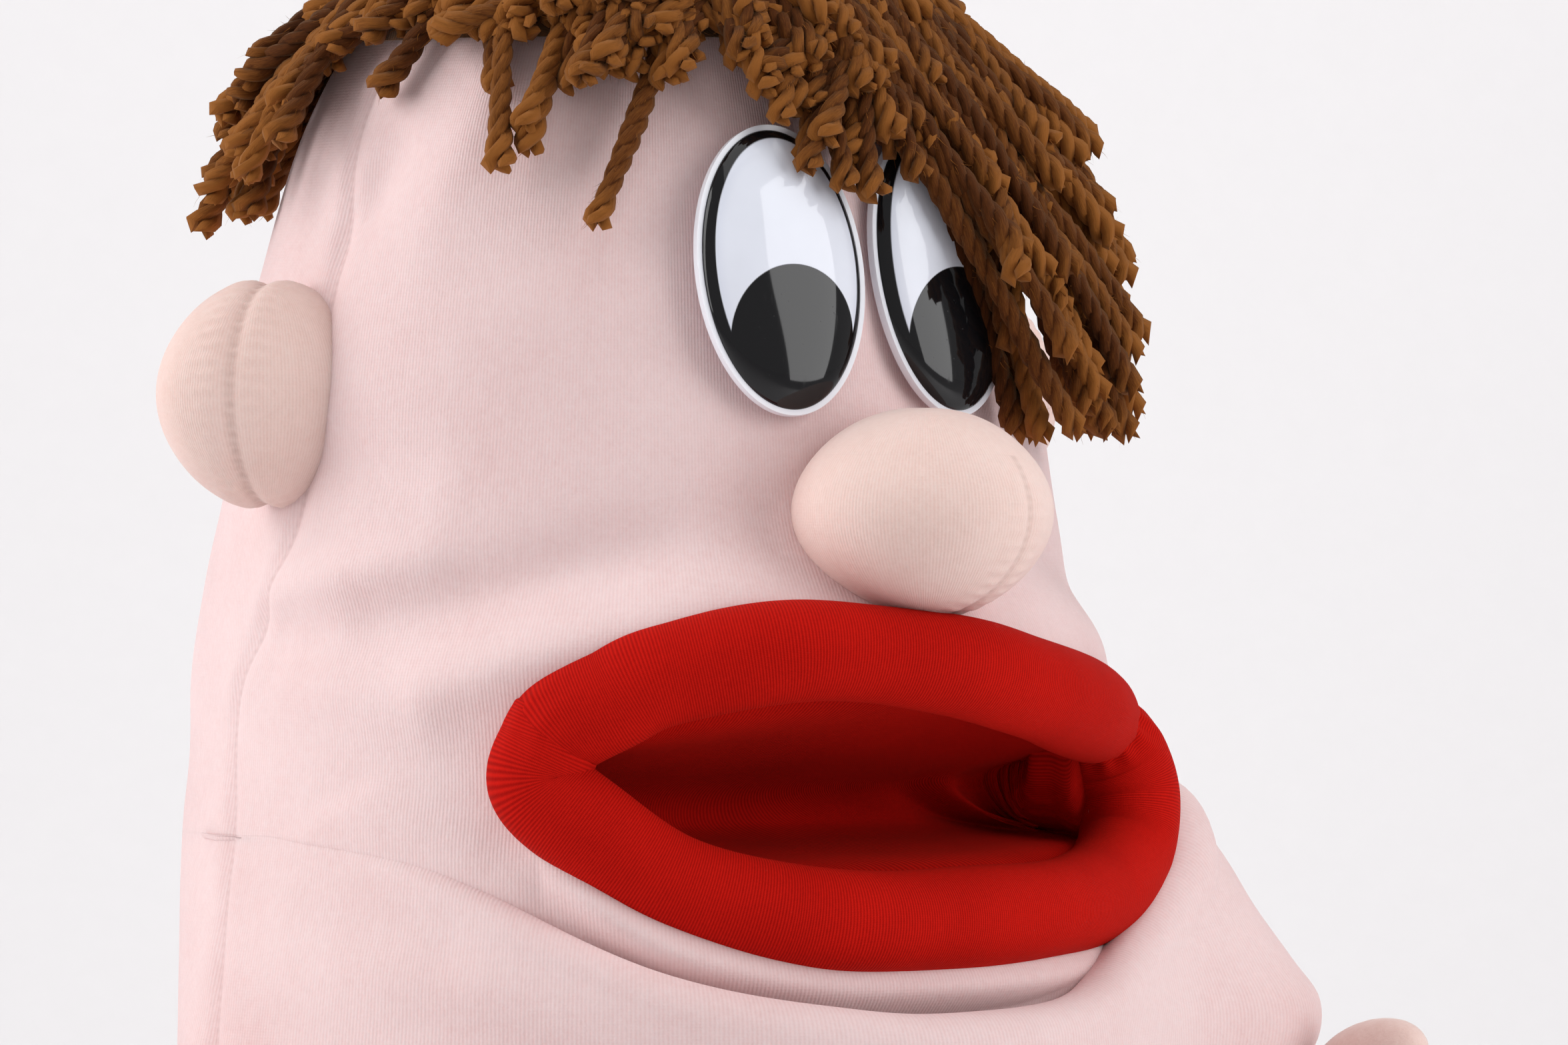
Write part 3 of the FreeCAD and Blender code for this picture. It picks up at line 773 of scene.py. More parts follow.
class PUPPET_OT_throat(Operator):
    """Sews the throat: it joins the head behind and folds over in front, below the chin"""
    bl_idname = "puppet.throat"
    bl_label = "Throat cover"

    def execute(self, context):
        puppet = context.scene.puppet
        columns = seam_columns(COVER_COLUMNS)
        top = smooth_line(CREASE, columns)
        roll = smooth_line(CREASE_ROLL, columns)
        share = np.linspace(0, 1, 46)[:, None]
        z = BODY_TOP + (top - roll - BODY_TOP) * share
        azimuth = np.broadcast_to(columns, z.shape)
        plain = body_cover(azimuth, z)
        # where it doesn't fold over, the throat runs on into the face's own cover
        join = (1 - ease((roll - ROLL_FROM) / 5)) * ease((share - 0.35) / 0.65)
        radius = plain + (face_cover(azimuth, z) - plain) * join
        turn = np.radians(np.linspace(8, 200, 22))[:, None]
        roll_z = top - roll + roll * np.sin(turn)
        roll_r = radius[-1] - roll * (1 - np.cos(turn)) * 0.9
        drop = np.linspace(0, 1, 8)[1:, None]
        in_z = roll_z[-1] - 1.4 * roll * drop
        in_r = roll_r[-1] - 0.8 * roll * drop
        z = np.concatenate([z, roll_z, in_z])
        radius = np.concatenate([radius, roll_r, in_r])
        azimuth = np.broadcast_to(columns, z.shape)
        keep = np.ones(z.shape, bool)
        keep[len(share) - 1:] = (roll > ROLL_FROM) & (np.roll(roll, -1) > ROLL_FROM)
        throat = cover("throat_cloth", azimuth, radius, z, puppet.stuffing.cover, keep)
        dress(throat, pink_velour(puppet.cloth))
        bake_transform(throat)
        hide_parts("throat_cover")
        return {"FINISHED"}


def cheek_height(azimuth):
    """Height of the cheek plane, which runs from the mouth's corner down and back, on the face. It is
    found from a first guess in four rounds."""
    z = np.full(np.shape(azimuth), 326.0)
    for _ in range(4):
        y = -reach(azimuth, z, FACE_FRONT) * np.cos(np.radians(azimuth))
        z = CHEEK_PLANE[1] - CHEEK_PLANE[2] * (y - CHEEK_PLANE[0])
    return z


def face_edge(azimuth):
    """Lower edge of the face: behind the upper lip roll, then the cheek plane, then the crease."""
    lip = np.maximum(lip_height(UPPER_LIP, azimuth), BEHIND_LIP)
    low = np.maximum(cheek_height(azimuth), smooth_line(CREASE, azimuth))
    rise = ease((np.abs(azimuth) - CORNER_FROM) / (CORNER_AZIMUTH - CORNER_FROM))
    return lip * (1 - rise) + low * rise


def crown_rows(columns):
    """The head above the mouth: rows of height from its lower edge to the closed crown."""
    low = face_edge(columns)
    share = np.linspace(0, 1, 130)[:, None]
    crown = SECTIONS[-1][0]
    z = low + (crown - low) * (1 - (1 - share) ** 1.25)
    azimuth = np.broadcast_to(columns, z.shape)
    radius = np.maximum(face_cover(azimuth, z), 0.3)
    # the crown closes without folds
    calm = ease((crown - z) / 14)
    return azimuth, radius * calm + reach(azimuth, z, FACE_FRONT) * (1 - calm), z


def chin_rows(columns):
    """The cheeks below the mouth's corners and the band under the lower lip, which turns in below
    behind the throat. Rows run from inside, out and up."""
    lip = lip_height(LOWER_LIP, np.clip(columns, -CORNER_AZIMUTH, CORNER_AZIMUTH))
    within = np.abs(columns) < CORNER_AZIMUTH
    rise = ease((np.abs(columns) - 46) / 5.8)
    edge = face_edge(columns)
    tuck = 5 * ease((np.abs(columns) - 34) / 8)
    top = np.where(within, (lip + 3 - tuck) * (1 - rise) + (CHEEK_PLANE[1] - 4) * rise, edge)
    crease = smooth_line(CREASE, columns)
    roll = smooth_line(CREASE_ROLL, columns)
    low = np.minimum(crease + 1.5 * ease(roll / 4) - 0.4 * roll, top - 0.15)
    share = np.linspace(0, 1, 34)[:, None]
    z = top + (low - top) * share
    azimuth = np.broadcast_to(columns, z.shape)
    front = 1 - ease((np.abs(azimuth) - 40) / 16)
    bulge = 8.5 * front * bell((z - lip + 16) / 8)
    bulge = bulge + 2.0 * (1 - front) * ease(roll / 5) * bell((z - low - 8) / 9)
    away = np.where(within, ease(share * 3), ease((top - z) / 9))
    radius = face_cover(azimuth, z) + bulge * away
    size = np.minimum(9, 0.15 + 0.9 * roll)
    turn = np.radians(np.linspace(6, 90, 12))[:, None]
    turn_z = low - size * np.sin(turn)
    turn_r = radius[-1] - size * (1 - np.cos(turn))
    inward = np.linspace(0, 1, 10)[1:, None]
    in_z = turn_z[-1] + 0 * inward
    in_r = turn_r[-1] - 30 * inward * np.minimum(1, size / 9)
    z = np.concatenate([z, turn_z, in_z])[::-1]
    radius = np.concatenate([radius, turn_r, in_r])[::-1]
    return np.broadcast_to(columns, z.shape), radius, z


class PUPPET_OT_head(Operator):
    """Sews the head with its cheeks and chin as one cover, open at the mouth"""
    bl_idname = "puppet.head"
    bl_label = "Head cover"

    def execute(self, context):
        puppet = context.scene.puppet
        columns = seam_columns(COVER_COLUMNS)
        head, chin = crown_rows(columns), chin_rows(columns)
        azimuth, radius, z = (np.concatenate([low, high]) for low, high in zip(chin, head))
        rows = len(chin[0])
        # cells exist above the mouth, and below it within the cheeks; none cross the mouth
        keep = np.ones(z.shape, bool)
        folded = smooth_line(CREASE_ROLL, columns) > ROLL_FROM
        keep[:rows] = folded & np.roll(folded, -1)
        keep[rows - 1] = False
        quads, i, j = grid_faces(*z.shape, True)
        kept = keep[i, j]
        quads, i, j = quads[kept], i[kept], j[kept]
        # outside the mouth's corners the cheek's top row is the face's lowest row
        sewn = np.abs(columns) > CORNER_AZIMUTH
        number = np.arange(z.size).reshape(z.shape)
        number[rows - 1, sewn] = number[rows, sewn]
        quads = number.ravel()[quads]
        uv = cloth_map(azimuth, z, True)
        corner = np.stack([uv[i, j], uv[i, j + 1], uv[i + 1, j + 1], uv[i + 1, j]], 1)
        cloth = new_object("head_cover", upright(azimuth, radius, z), quads, corner,
                           {"seam": seam_offset(azimuth, z)})
        thicken(cloth, puppet.stuffing.cover)
        dress(cloth, pink_velour(puppet.cloth))
        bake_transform(cloth)
        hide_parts("head_cover_front", "head_cover_back", "chin_cover", "cheek_cover_left",
                    "cheek_cover_right")
        return {"FINISHED"}


# ------------------------------------------------------------------ mouth
def lip_roll(name, knots, radius, dents):
    """Lip roll: a round roll along its line, rounded off where it is sewn at both ends; at the puppet's
    left corner it is pulled tight, so it narrows and puckers there."""
    path = lip_line(knots, 330)
    s = run_length(path)
    end = np.minimum(s, s[-1] - s)
    around = 56
    angle = np.linspace(0, 2 * np.pi, around, endpoint=False)
    tight = s > s[-1] / 2
    size = radius * (1 - np.where(tight, 0.34, 0.03) * bell((end - 4) / np.where(tight, 9.0, 4.0)))
    size = size * np.sqrt(np.clip(1 - (1 - np.minimum((end + 0.05) / 3.0, 1)) ** 2, 0, 1))
    slack = 0.30 * np.sin(s / 21 + dents) + 0.22 * np.sin(s / 8.7 + 2 * dents)
    pucker = (np.where(tight, 0.8, 0.15) * bell((end - 8) / 7))[:, None]
    pucker = pucker * np.sin(11 * angle + 0.15 * end[:, None] + dents)
    full = size[:, None] + slack[:, None] * ease(end / 20)[:, None] + pucker
    return rolled(name, path, np.maximum(full, 0.05), MOUTH_CENTRE)


class PUPPET_OT_lips(Operator):
    """Stuffs the two lip rolls and sews them together at the mouth's corners"""
    bl_idname = "puppet.lips"
    bl_label = "Lip rolls"

    def execute(self, context):
        puppet = context.scene.puppet
        red = red_jersey(puppet.cloth)
        upper = lip_roll("upper_lip_roll", UPPER_LIP, puppet.stuffing.lip_radius, 0.4)
        dress(upper, red)
        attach(upper, "head")
        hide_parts("upper_lip_cover", "upper_lip_filling", "lip_corner_left", "lip_corner_right")
        lower = lip_roll("lower_lip_roll", LOWER_LIP, puppet.stuffing.lip_radius, 1.9)
        dress(lower, red)
        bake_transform(lower)
        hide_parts("lower_lip_cover", "lower_lip_filling")
        return {"FINISHED"}


class PUPPET_OT_lining(Operator):
    """Hangs the loose mouth lining between the rolls, from the palate round the back to the tongue side"""
    bl_idname = "puppet.lining"
    bl_label = "Mouth lining"

    def execute(self, context):
        puppet = context.scene.puppet
        columns, rows = 280, 120
        side = np.linspace(-1, 1, columns)
        upper = smooth_run(UPPER_LIP, (side + 1) / 2 * (len(UPPER_LIP) - 1))
        lower = smooth_run(LOWER_LIP, (side + 1) / 2 * (len(LOWER_LIP) - 1))
        room = np.clip(1 - np.abs(side) ** 5, 0, 1) ** 0.5
        middle = (upper + lower) / 2
        back_y = -43 - 24 * np.abs(side) ** 3.2

        def station(rim, share, height):
            """A point row between a roll and the back fold, at a height over the pads."""
            y = rim[:, 1] * (1 - share) + back_y * share
            pad = height(y)
            return np.stack([rim[:, 0] * (1 - 0.10 * share), y, pad * room + middle[:, 2] * (1 - room)], -1)

        def palate(y):
            return 313.4 - (y + 44) * 0.365

        def tongue(y):
            return 302.0 + (y + 46) * 0.13

        def back(y):
            return 306.5 + 0 * y

        stations = [upper, station(upper, 0.22, palate), station(upper, 0.60, palate),
                    station(upper, 0.95, palate), station(middle, 1.04, back),
                    station(lower, 0.95, tongue), station(lower, 0.60, tongue),
                    station(lower, 0.22, tongue), lower]
        down = np.linspace(0, 1, rows)
        points = smooth_run(np.array(stations), down * (len(stations) - 1))
        down = down[:, None]
        loose = np.sin(np.pi * down) ** 2 * room
        fold = 8.0 * bell((side - 0.56 + 0.22 * down) / 0.05) * bell((down - 0.55) / 0.22)
        fold = fold - 3.5 * bell((side - 0.47 + 0.22 * down) / 0.06) * bell((down - 0.55) / 0.25)
        fold = fold + 2.6 * bell((side + 0.30 + 0.2 * down) / 0.12) * bell((down - 0.45) / 0.25)
        left = ease((side - 0.58) / 0.10) * (1 - ease((side - 0.90) / 0.08))
        right = ease((-side - 0.58) / 0.15) * (1 - ease((-side - 0.9) / 0.1))
        pleats = np.sin(side * 92 + 3.0 * down) * left + 0.7 * np.sin(side * 78) * right
        points[..., 1] -= (fold + 2.0 * pleats) * loose
        u = np.broadcast_to(side * 128, (rows, columns))
        v = np.broadcast_to(down * 150, (rows, columns))
        lining = surface("mouth_lining", points, np.stack([u, v], -1) * MM, flip=True)
        thicken(lining, 0.8)
        dress(lining, red_jersey(puppet.cloth))
        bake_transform(lining)
        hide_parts("palate_lining", "jaw_lining", "mouth_fold_lining")
        return {"FINISHED"}


# ------------------------------------------------------------------ nose and ears
def turn_z(points, at, degrees):
    """Turns points about an upright line."""
    c, s = math.cos(math.radians(degrees)), math.sin(math.radians(degrees))
    x, y = points[..., 0] - at[0], points[..., 1] - at[1]
    return np.stack([at[0] + c * x - s * y, at[1] + s * x + c * y, points[..., 2]], -1)


def stuffed_ball(name, at, half, seam_tilt, dip, pole):
    """Stuffed ball: an oval ball about a pole direction across it, with a sunk seam on the great
    circle whose plane is turned by seam_tilt, up to the height share `pole`, with dents at the stitches."""
    rows, columns = 96, 150
    fall = np.linspace(0.0, np.pi, rows)[:, None]
    turn = np.linspace(0, 2 * np.pi, columns, endpoint=False)[None]
    x, y, z = np.sin(fall) * np.cos(turn), np.sin(fall) * np.sin(turn), np.cos(fall) + 0 * turn
    direction = np.stack([x, y, z], -1)
    normal = np.array([math.cos(seam_tilt), math.sin(seam_tilt), 0.0])
    off = direction @ normal * min(half)
    along = np.arctan2(z, direction @ np.array([-normal[1], normal[0], 0.0]))
    stitch = np.sin(along * 44)
    fade = ease((pole - z) / 0.6)
    swell = 1 - dip / min(half) * bell(off / 1.3) * (1 + 0.25 * stitch) * fade
    swell = swell + 0.010 * bell((np.abs(off) - 3.4) / 2.6) * (1 + 0.8 * stitch) * fade
    swell = swell + 0.010 * np.sin(3 * turn + 1) * np.sin(fall) ** 2 + 0.008 * np.sin(5 * fall)
    points = direction * swell[..., None] * np.asarray(half) + np.asarray(at)
    u = np.concatenate([turn, turn[:, :1] + 2 * np.pi], 1) * half[0] + 0 * fall
    v = -fall * half[2] + 0 * u
    return surface(name, points, np.stack([u, v], -1) * MM, wrap=True, flip=True,
                   values={"seam": np.where(z < pole, off, 20)})


class PUPPET_OT_nose(Operator):
    """Stuffs the round nose"""
    bl_idname = "puppet.nose"
    bl_label = "Nose"

    def execute(self, context):
        cloth = context.scene.puppet.cloth
        nose = stuffed_ball("nose_ball", NOSE_AT, NOSE_HALF, 0.30, 0.55, 0.55)
        dress(nose, peach_velour(cloth))
        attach(nose, "head")
        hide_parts("nose_cover")
        return {"FINISHED"}


class PUPPET_OT_ears(Operator):
    """Stuffs the two ears"""
    bl_idname = "puppet.ears"
    bl_label = "Ears"

    def execute(self, context):
        cloth = context.scene.puppet.cloth
        for name, mirror in (("left", 1), ("right", -1)):
            at = (mirror * EAR_AT[0], EAR_AT[1], EAR_AT[2])
            tilt = math.radians(34 if mirror > 0 else 146)
            ear = stuffed_ball(f"ear_{name}_ball", at, EAR_HALF, tilt, 0.8, 1.7)
            points = np.empty(len(ear.data.vertices) * 3, np.float32)
            ear.data.vertices.foreach_get("co", points)
            turned = turn_z(points.reshape(-1, 3) / MM, at, mirror * EAR_SWEEP) * MM
            ear.data.vertices.foreach_set("co", turned.astype(np.float32).ravel())
            dress(ear, peach_velour(cloth))
            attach(ear, "head")
            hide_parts(f"ear_{name}_cover")
        return {"FINISHED"}


# ------------------------------------------------------------------ eyes
def eye_place(points, side):
    """Carries points made round the eye's own axis (+Z out of the eye) to one eye."""
    x, y, z = points[..., 0], points[..., 1], points[..., 2]
    lean, splay = math.radians(EYE_LEAN), math.radians(EYE_SPLAY) * side
    # +Z out of the eye becomes -Y, and the eye's own +Y becomes +Z
    ahead, up = -z, y
    ahead, up = (ahead * math.cos(lean) + up * math.sin(lean), up * math.cos(lean) - ahead * math.sin(lean))
    turned_x = x * math.cos(splay) - ahead * math.sin(splay)
    turned_y = x * math.sin(splay) + ahead * math.cos(splay)
    return np.stack([turned_x + side * EYE_AT[0], turned_y + EYE_AT[1], up + EYE_AT[2]], -1)


class PUPPET_OT_eyes(Operator):
    """Moulds the two glossy eyes and finishes their back plates and washers"""
    bl_idname = "puppet.eyes"
    bl_label = "Eyes"

    def execute(self, context):
        a, b = EYE_HALF
        black, white = (0.006, 0.006, 0.007), (0.80, 0.83, 0.92)
        rows, columns = 64, 160
        # the dome's outline: flat low crown, full round shoulder, then straight back to the plate
        share = np.linspace(0, 1, rows)[:, None]
        out = np.sin(share * np.pi / 2) ** 0.9
        rise = EYE_DOME * np.clip(1 - out ** 2.4, 0, 1) ** 0.62
        turn = np.linspace(0, 2 * np.pi, columns, endpoint=False)[None]
        x, y = a * out * np.cos(turn), b * out * np.sin(turn)
        dome = np.stack([x, y, rise + PLATE_THICKNESS + 0 * turn], -1)
        back = dome[-1:].copy()
        back[..., 2] = PLATE_THICKNESS - 0.4
        dome = np.concatenate([dome, back])
        around = np.concatenate([turn, turn[:, :1]], 1)
        out = np.concatenate([out, out[-1:]])
        uv = np.stack([a * out * np.cos(around), b * out * np.sin(around)], -1) * MM
        finish = shared("eye plastic", lambda n: eye_finish(n, black, white))
        plate = shared("eye backing", lambda n: moulded(n, (0.84, 0.86, 0.94), 0.25, 0.4))
        washer = shared("washer plastic", lambda n: moulded(n, (0.82, 0.82, 0.80), 0.4))
        for name, side in (("left", 1), ("right", -1)):
            eye = surface(f"eye_{name}_dome", eye_place(dome, side), uv, wrap=True)
            dress(eye, finish)
            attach(eye, "head")
            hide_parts(f"eye_{name}_frame", f"eye_{name}_white")
            frame["nodes"][f"eye_{name}_plate"].data.materials.clear()
            frame["nodes"][f"eye_{name}_plate"].data.materials.append(plate)
            frame["nodes"][f"eye_{name}_washer"].data.materials.clear()
            frame["nodes"][f"eye_{name}_washer"].data.materials.append(washer)
        return {"FINISHED"}


# ------------------------------------------------------------------ yarn
def strands(name, paths, seeds, settings):
    """Plied strands, all at once. Each path is a row of points. Three plies wind round it, each a
    small round tube; near the cut end the plies part and swell."""
    count, steps = paths.shape[:2]
    plies, around = 3, 5
    tangent = np.gradient(paths, axis=1)
    tangent /= np.linalg.norm(tangent, axis=2, keepdims=True)
    spare = np.array([0.31, -0.52, 0.79])
    side = spare - tangent * (tangent @ spare)[..., None]
    side /= np.linalg.norm(side, axis=2, keepdims=True)
    other = np.cross(tangent, side)
    length = np.concatenate([np.zeros((count, 1)),
                             np.cumsum(np.linalg.norm(np.diff(paths, axis=1), axis=2), 1)], 1)
    left = length[:, -1:] - length
    flare = bell(left / 6.5)
    size = settings.radius * (1 + 0.10 * np.sin(length / 7 + seeds[:, None] * 9))
    wind = 2 * np.pi * length / settings.pitch + seeds[:, None] * 31
    ply = np.arange(plies) * 2 * np.pi / plies
    turn = wind[..., None] + ply * (1 + 0 * wind[..., None])
    offset = (0.38 + 0.52 * flare) * size
    centre = (paths[:, :, None] + offset[..., None, None]
              * (side[:, :, None] * np.cos(turn)[..., None] + other[:, :, None] * np.sin(turn)[..., None]))
    thick = size * (0.70 + 0.10 * flare)
    thick = thick * ease((left + 0.15) / 2.2) * ease((length + 0.3) / 1.5)
    angle = np.linspace(0, 2 * np.pi, around, endpoint=False)
    ring = (side[:, :, None, None] * np.cos(angle)[:, None]
            + other[:, :, None, None] * np.sin(angle)[:, None])
    points = centre[:, :, :, None] + thick[:, :, None, None, None] * ring
    points = points.transpose(0, 2, 1, 3, 4)  # strand, ply, step, round
    # painted shade: groove marks the side of each ply that faces into the strand, darkened in the finish as
    # shade between plies
    facing = np.cos(angle[None, None, None] - turn[..., None]).transpose(0, 2, 1, 3)
    groove = ease((0.15 - facing) / 1.1) * (1 - 0.6 * flare[:, None, :, None])
    quads, i, j = grid_faces(steps, around, True)
    tubes = count * plies
    faces = (quads[None] + (np.arange(tubes) * steps * around)[:, None, None]).reshape(-1, 4)
    u = np.linspace(0, 2 * np.pi * settings.radius * 0.6, around + 1) * MM
    start = np.arange(tubes)[:, None] * 0.013
    along = np.repeat(length, plies, 0) * MM
    corner = np.empty((tubes, len(quads), 4, 2), np.float32)
    for k, (di, dj) in enumerate(((0, 0), (0, 1), (1, 1), (1, 0))):
        corner[:, :, k, 0] = u[j + dj] + start
        corner[:, :, k, 1] = along[:, i + di]
    shape = (count, plies, steps, around)
    tip = np.broadcast_to(bell(left / 8)[:, None, :, None], shape)
    shade = np.broadcast_to(seeds[:, None, None, None], shape)
    return new_object(name, points, faces, corner, {"shade": shade, "tip": tip, "groove": groove})


def fallen(rng, root_a, root_z, tip_a, tip_z, lift, steps, stray=0.0):
    """Paths of strands that lie on the head from root to tip: azimuth and height run from one to the
    other, the strand rises off the cap at once and its tip stands out by lift."""
    t = np.linspace(0, 1, steps)[None]
    root_a, root_z, tip_a, tip_z, lift = (np.asarray(v, float)[:, None] for v in
                                         (root_a, root_z, tip_a, tip_z, lift))
    bend = rng.uniform(0.8, 1.5, root_a.shape)
    sway = rng.uniform(-1, 1, root_a.shape) * (3 + stray)
    azimuth = root_a + (tip_a - root_a) * t ** bend + sway * np.sin(np.pi * t * 1.3)
    z = root_z + (tip_z - root_z) * (0.35 * t + 0.65 * t ** 1.35)
    base = reach(azimuth, np.minimum(z, 549.5), FACE_FRONT)
    wave = rng.uniform(0, 6.28, root_a.shape)
    out = 4.0 + rng.uniform(0, 1.0, root_a.shape) * 3 * np.sin(np.pi * t) + lift * t ** 1.7
    out = out + 0.8 * np.sin(9 * t + wave)
    crown = ease((z - 520) / 30)
    return upright(azimuth, base + out * (1 - 0.7 * crown), z + (4.5 + 0.35 * out) * crown)


def fluff(name, paths, rng, settings, per_strand):
    """Loose fibres of the yarn: thin flat slivers that leave a strand sideways and curl back, more of
    them at the cut end. Each is a tapering ribbon of three cells."""
    count, steps = paths.shape[:2]
    total = count * per_strand
    strand = np.repeat(np.arange(count), per_strand)
    # one fibre in four stands at the last seventh of the strand
    share = np.where(rng.random(total) < 0.25, rng.uniform(0.86, 1.0, total),
                     rng.uniform(0.06, 0.95, total))
    step = np.clip((share * (steps - 1)).astype(int), 1, steps - 2)
    root = paths[strand, step]
    ahead = paths[strand, step + 1] - paths[strand, step - 1]
    ahead /= np.linalg.norm(ahead, axis=1, keepdims=True)
    out = rng.normal(size=(total, 3))
    out -= ahead * (out * ahead).sum(1, keepdims=True)
    out /= np.linalg.norm(out, axis=1, keepdims=True)
    reach_out = rng.uniform(0.5, 2.0, total)[:, None]
    along = rng.uniform(-1.5, 4.0, total)[:, None]
    t = np.linspace(0, 1, 4)[None, :, None]
    away = settings.radius * 0.8 + reach_out[:, None] * t ** 1.4 * (1.3 - 0.5 * t)
    line = root[:, None] + out[:, None] * away + ahead[:, None] * along[:, None] * t
    sideways = np.cross(ahead, out)[:, None]
    line = line + sideways * (rng.uniform(-1.6, 1.6, total)[:, None, None] * t ** 2)
    across = (ahead[:, None] * 0.5 + sideways) * (0.085 * (1 - 0.85 * t))
    points = np.stack([line - across, line + across], 2)  # fibre, cell row, side
    quad = np.array([[2 * k, 2 * k + 1, 2 * k + 3, 2 * k + 2] for k in range(3)])
    faces = (quad[None] + (np.arange(total) * 8)[:, None, None]).reshape(-1, 4)
    corner = np.zeros((len(faces), 4, 2))
    shape = (total, 4, 2)
    shade = np.broadcast_to(rng.uniform(0.5, 1.1, total)[:, None, None], shape)
    return new_object(name, points, faces, corner, {"shade": shade, "tip": 0.6 + 0 * shade,
                                                    "groove": 0 * shade})


class PUPPET_OT_hair(Operator):
    """Ties the mop: strands of plied yarn that fall from the crown all round"""
    bl_idname = "puppet.hair"
    bl_label = "Yarn mop"

    def execute(self, context):
        settings = context.scene.puppet.yarn
        finish = shared("brown yarn", lambda n: yarn_finish(n, rgb(settings.dark), rgb(settings.middle),
                                                            rgb(settings.light)))
        rng = np.random.default_rng(settings.seed)

        def some(n, low, high):
            return rng.uniform(low, high, n)

        steps = 50
        groups = {}
        # the heavy sweep over the puppet's left eye, in three layers
        tip_a = np.concatenate([some(36, -14, 18), some(50, 16, 46), some(44, 32, 78)])
        tip_z = np.concatenate([some(36, 458, 490), some(50, 398, 470), some(44, 420, 486)])
        lift = np.concatenate([some(36, 4, 14), some(50, 5, 26), some(44, 8, 28)])
        n = len(tip_a)
        groups["hair_left"] = fallen(rng, tip_a * 0.6 + some(n, -14, 10), some(n, 516, 544), tip_a,
                                     tip_z, lift, steps, 4)
        # the fringe over the brow
        n = 84
        tip_a = some(n, -50, 4)
        groups["hair_fringe"] = fallen(rng, tip_a + some(n, -14, 14), some(n, 520, 545), tip_a,
                                       some(n, 487, 512), some(n, 3, 15), steps, 4)
        # thinner strands down the puppet's right temple, with one long one
        tip_a = np.array([-42, -50, -53, -56, -59, -62, -66, -49, -84, -86, -60, -55, -64, -79, -70, -46])
        tip_z = np.array([452, 486, 470, 476, 466, 486, 500, 500, 486, 502, 500, 506, 512, 508, 514, 506])
        extra = some(34, -104, -52)
        tip_a = np.concatenate([tip_a, extra])
        tip_z = np.concatenate([tip_z, some(34, 498, 518)])
        n = len(tip_a)
        groups["hair_right"] = fallen(rng, tip_a * 0.9 + some(n, -10, 10), some(n, 522, 545), tip_a, tip_z,
                                      some(n, 3, 8), steps)
        # the back, down to the nape's upper edge
        n = 130
        tip_a = 180 + some(n, -88, 88)
        back_z = some(n, 452, 500)
        near_seam = ease((np.abs(tip_a - 180) - 50) / 30)
        back_z = back_z + 10 * near_seam
        groups["hair_back"] = fallen(rng, tip_a + some(n, -12, 12), some(n, 512, 545), tip_a, back_z,
                                     some(n, 4, 20), steps, 2)
        # the crown: short loops from the parting out
        n = 125
        tip_a = some(n, -180, 180)
        groups["hair_crown"] = fallen(rng, tip_a + some(n, -60, 60), some(n, 540, 549), tip_a,
                                      some(n, 500, 526), some(n, 4, 12), steps, 6)
        for name, paths in groups.items():
            seeds = rng.random(len(paths))
            mop = strands(f"{name}_yarn", paths, seeds, settings)
            dress(mop, finish)
            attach(mop, "head")
            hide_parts(name)
            loose = fluff(f"{name}_fluff", paths, rng, settings, 110)
            dress(loose, finish)
            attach(loose, "head")
        return {"FINISHED"}


